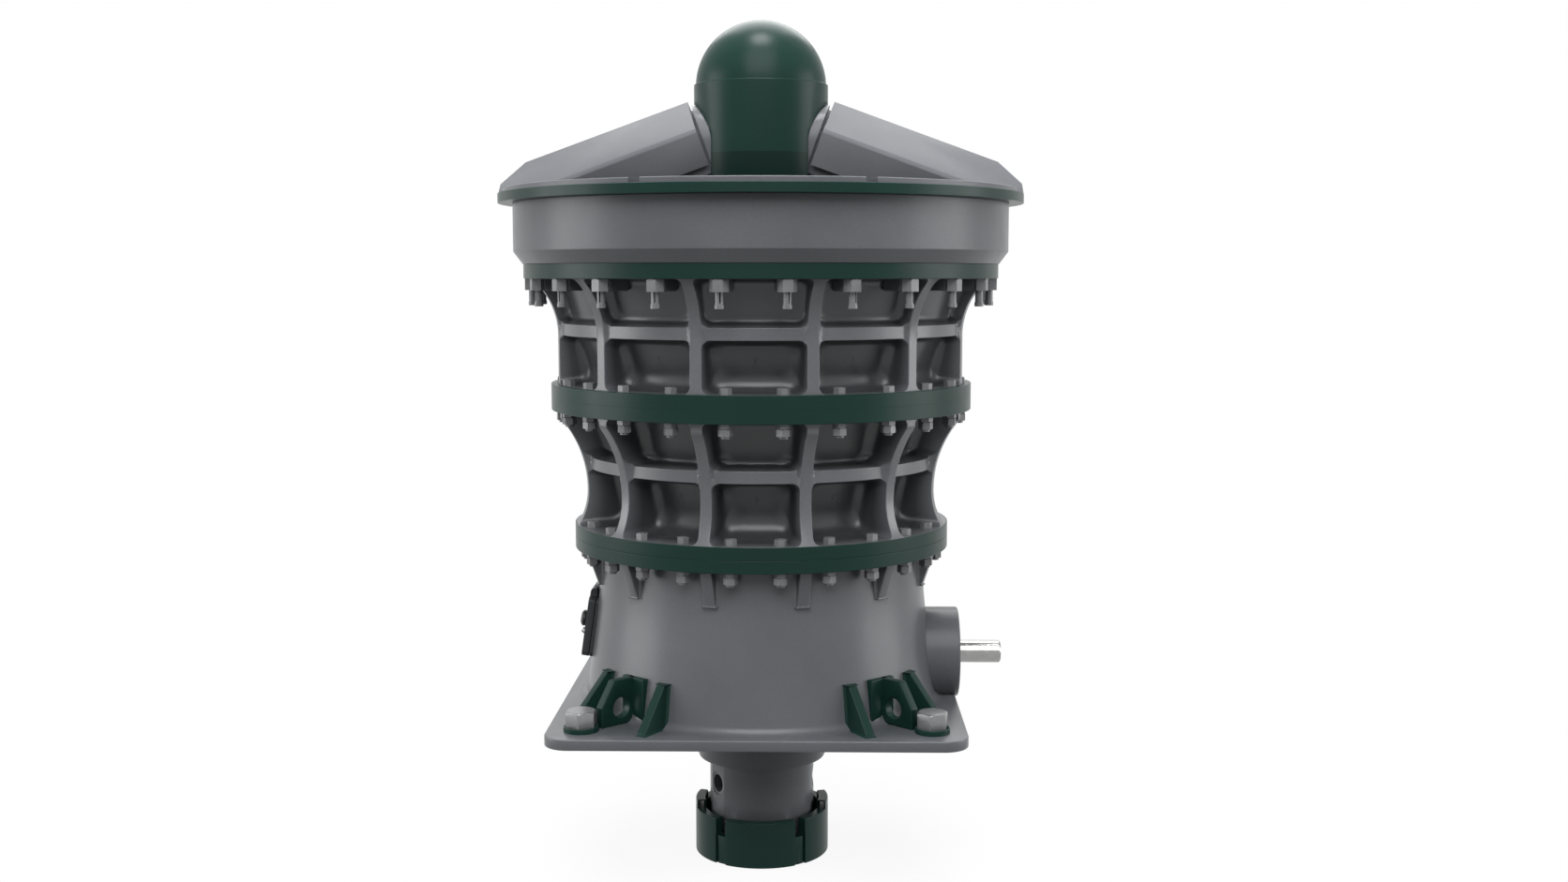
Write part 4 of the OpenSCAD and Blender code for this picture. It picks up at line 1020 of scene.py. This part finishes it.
for node, width, body in (("door_frame", 0.006, "frame"), ("inspection_door", 0.007, "door")):
    piece = ease(copied(node), width, 3, 40)
    fit(piece, dark_paint, node, body=body, angle=40)
proud = Matrix.Rotation(-pi / 2, 4, "Y")
knob = rounded([(0, 0, 0), (0.034, 0, 0), (0.030, 0.016, 0.004), (0.066, 0.022, 0.008),
                (0.070, 0.048, 0.010), (0.048, 0.064, 0.008), (0, 0.065, 0)], step=15, guard=0.0005)
fit(solid("door_knob_moulded", placed(lathe(knob, 72), door_place @ at(0, 0, KNOB_H) @ proud)),
    black_plastic, "door_knob", body="door", angle=30)

# Latch strap under the knob, with its two bolts.
latch = [ease(solid("strap", placed(box(-0.014, 0.004, -0.075, 0.075, 0.150, 0.196), door_place)),
              0.004, 2, 40)]
for y in (-0.046, 0.046):
    out = door_place @ at(-0.012, y, LATCH_H) @ proud
    latch.append(solid("latch_bolt", placed(joined(hexagon(0.021, 0, 0.020, low=False),
                                                   peg(0.012, 0.018, 0.032)), out)))
fit(as_one("door_latch", latch), bolt_steel, body="door")

for node, material, width in (("bottom_hub", grey_paint, 0.012),
                              ("bottom_hub_arms", grey_paint, 0.012),
                              ("head_nut", liner_steel, 0.008),
                              ("main_shaft", bright_steel, 0.010)):
    fit(ease(copied(node), width, 3, 40), material, node, angle=40)

mantle_z, nut_z = foot("mantle"), top("mantle")
mantle_outline = rounded(
    [(0.320, mantle_z, 0), (0.710, mantle_z, 0.01), (0.770, mantle_z + 0.07, 0.03),
     (0.758, mantle_z + 0.221, 0.3), (0.628, mantle_z + 0.884, 1.0),
     (0.5355, mantle_z + 1.547, 1.0), (0.455, nut_z, 0.01), (0.320, nut_z, 0)], step=4)
fit(solid("mantle_cast", lathe(mantle_outline, 180)), liner_steel, "mantle")


def liner_rows(name, node, bore, z0, z1, rows=2, count=12):
    """Rows of liner segments with narrow joints between them."""
    pieces = []
    step = (z1 - z0) / rows
    for row in range(rows):
        a, b = z0 + row * step + 0.003, z0 + (row + 1) * step - 0.003
        outline = rounded([(bore(a) - 0.001, a, 0), (bore(b) - 0.001, b, 0),
                           (bore(b) - LINER_T, b, 0.012), (bore(a) - LINER_T, a, 0.012)], step=30)
        wide = 360 / count
        for k in range(count):
            first = wide * (k + 0.5 * (row % 2))
            pieces.append(swept(outline, first + 0.12, first + wide - 0.12, 10))
    return fit(solid(name, joined(*pieces)), liner_steel, node)


middle_z = top("lower_concaves")
liner_rows("lower_concave_segments", "lower_concaves", lower_bore, lower_z, middle_z)
liner_rows("upper_concave_segments", "upper_concaves", upper_bore, middle_z, upper_top)


# ---------------------------------------------------------------- camera, floor and light

def aimed(obj, place, look, axis):
    """Stands the object at the place with its axis along look."""
    obj.location = place
    obj.rotation_mode = "QUATERNION"
    obj.rotation_quaternion = look.to_track_quat(axis, "Y")


def camera():
    lens = bpy.data.cameras.new("camera")
    lens.lens, lens.sensor_width, lens.clip_end = 37.99, 36.0, 200
    away, side, pan, tilt = 13.94, radians(1.8), radians(1.018), radians(5.72)
    SCENE.camera = linked("camera", lens)
    aimed(SCENE.camera, (away * sin(side), -away * cos(side), 4.927),
          Vector((-sin(pan) * cos(tilt), cos(pan) * cos(tilt), -sin(tilt))), "-Z")


def seen_as_background(tree):
    """1 for camera, glossy and transmission rays."""
    path = added(tree, "ShaderNodeLightPath").outputs
    total = path["Is Camera Ray"]
    for name in ("Is Glossy Ray", "Is Transmission Ray"):
        total = added(tree, "ShaderNodeMath", {0: total, 1: path[name]},
                      operation="MAXIMUM").outputs[0]
    return total


def blended(tree, share, a, b):
    return added(tree, "ShaderNodeMixShader", {0: share, 1: a, 2: b}).outputs[0]


def surroundings(ambient):
    SCENE.world = world = SCENE.world or bpy.data.worlds.new("studio")
    world.use_nodes = True
    tree = world.node_tree
    tree.nodes.clear()
    soft, white = (added(tree, "ShaderNodeBackground", {"Color": (1, 1, 1, 1), "Strength": strength})
                   .outputs[0] for strength in (ambient, 1.0))
    added(tree, "ShaderNodeOutputWorld", {0: blended(tree, seen_as_background(tree), soft, white)})


def floor():
    """Pale floor that keeps the shadow near the foot and is white further out."""
    size = 60
    corners = [(-size, -size, 0), (size, -size, 0), (size, size, 0), (-size, size, 0)]
    obj = solid("studio_floor", (corners, [(0, 1, 2, 3)]))
    mat = bpy.data.materials.new("pale_floor")
    mat.use_nodes = True
    tree = mat.node_tree
    tree.nodes.clear()
    matt = added(tree, "ShaderNodeBsdfDiffuse", {"Color": (0.1, 0.1, 0.1, 1)}).outputs[0]
    glow = added(tree, "ShaderNodeEmission", {"Strength": 0.90}).outputs[0]
    white = added(tree, "ShaderNodeEmission").outputs[0]
    place = added(tree, "ShaderNodeTexCoord").outputs["Object"]
    length = added(tree, "ShaderNodeVectorMath", {0: place}, operation="LENGTH").outputs["Value"]
    near = added(tree, "ShaderNodeAddShader", {0: matt, 1: glow}).outputs[0]
    shown = blended(tree, ramp(tree, length, 1.2, 3.0, 0.0, 1.0), near, white)
    added(tree, "ShaderNodeOutputMaterial",
          {0: blended(tree, seen_as_background(tree), matt, shown)})
    obj.data.materials.append(mat)


def softbox(name, azimuth, elevation, size, power):
    """Square lamp round the crusher; azimuth 0 is the front, 90 the right."""
    distance, aim = 26, Vector((0, 0, 3.6))
    lamp = bpy.data.lights.new(name, "AREA")
    lamp.shape, lamp.size, lamp.energy = "SQUARE", size, power
    a, e = radians(azimuth), radians(elevation)
    out = Vector((sin(a) * cos(e), -cos(a) * cos(e), sin(e)))
    obj = linked(name, lamp)
    aimed(obj, out * distance + aim, out, "Z")
    obj.visible_camera = False


camera()
surroundings(0.2)
floor()
softbox("left_softbox", -86, 8, 15, 3200)
softbox("right_softbox", 88, 8, 15, 3100)
softbox("front_softbox", 0, 42, 20, 5700)
softbox("top_softbox", 0, 84, 8, 5000)
softbox("back_softbox", 180, 50, 20, 4000)

SCENE.view_settings.view_transform = "Standard"
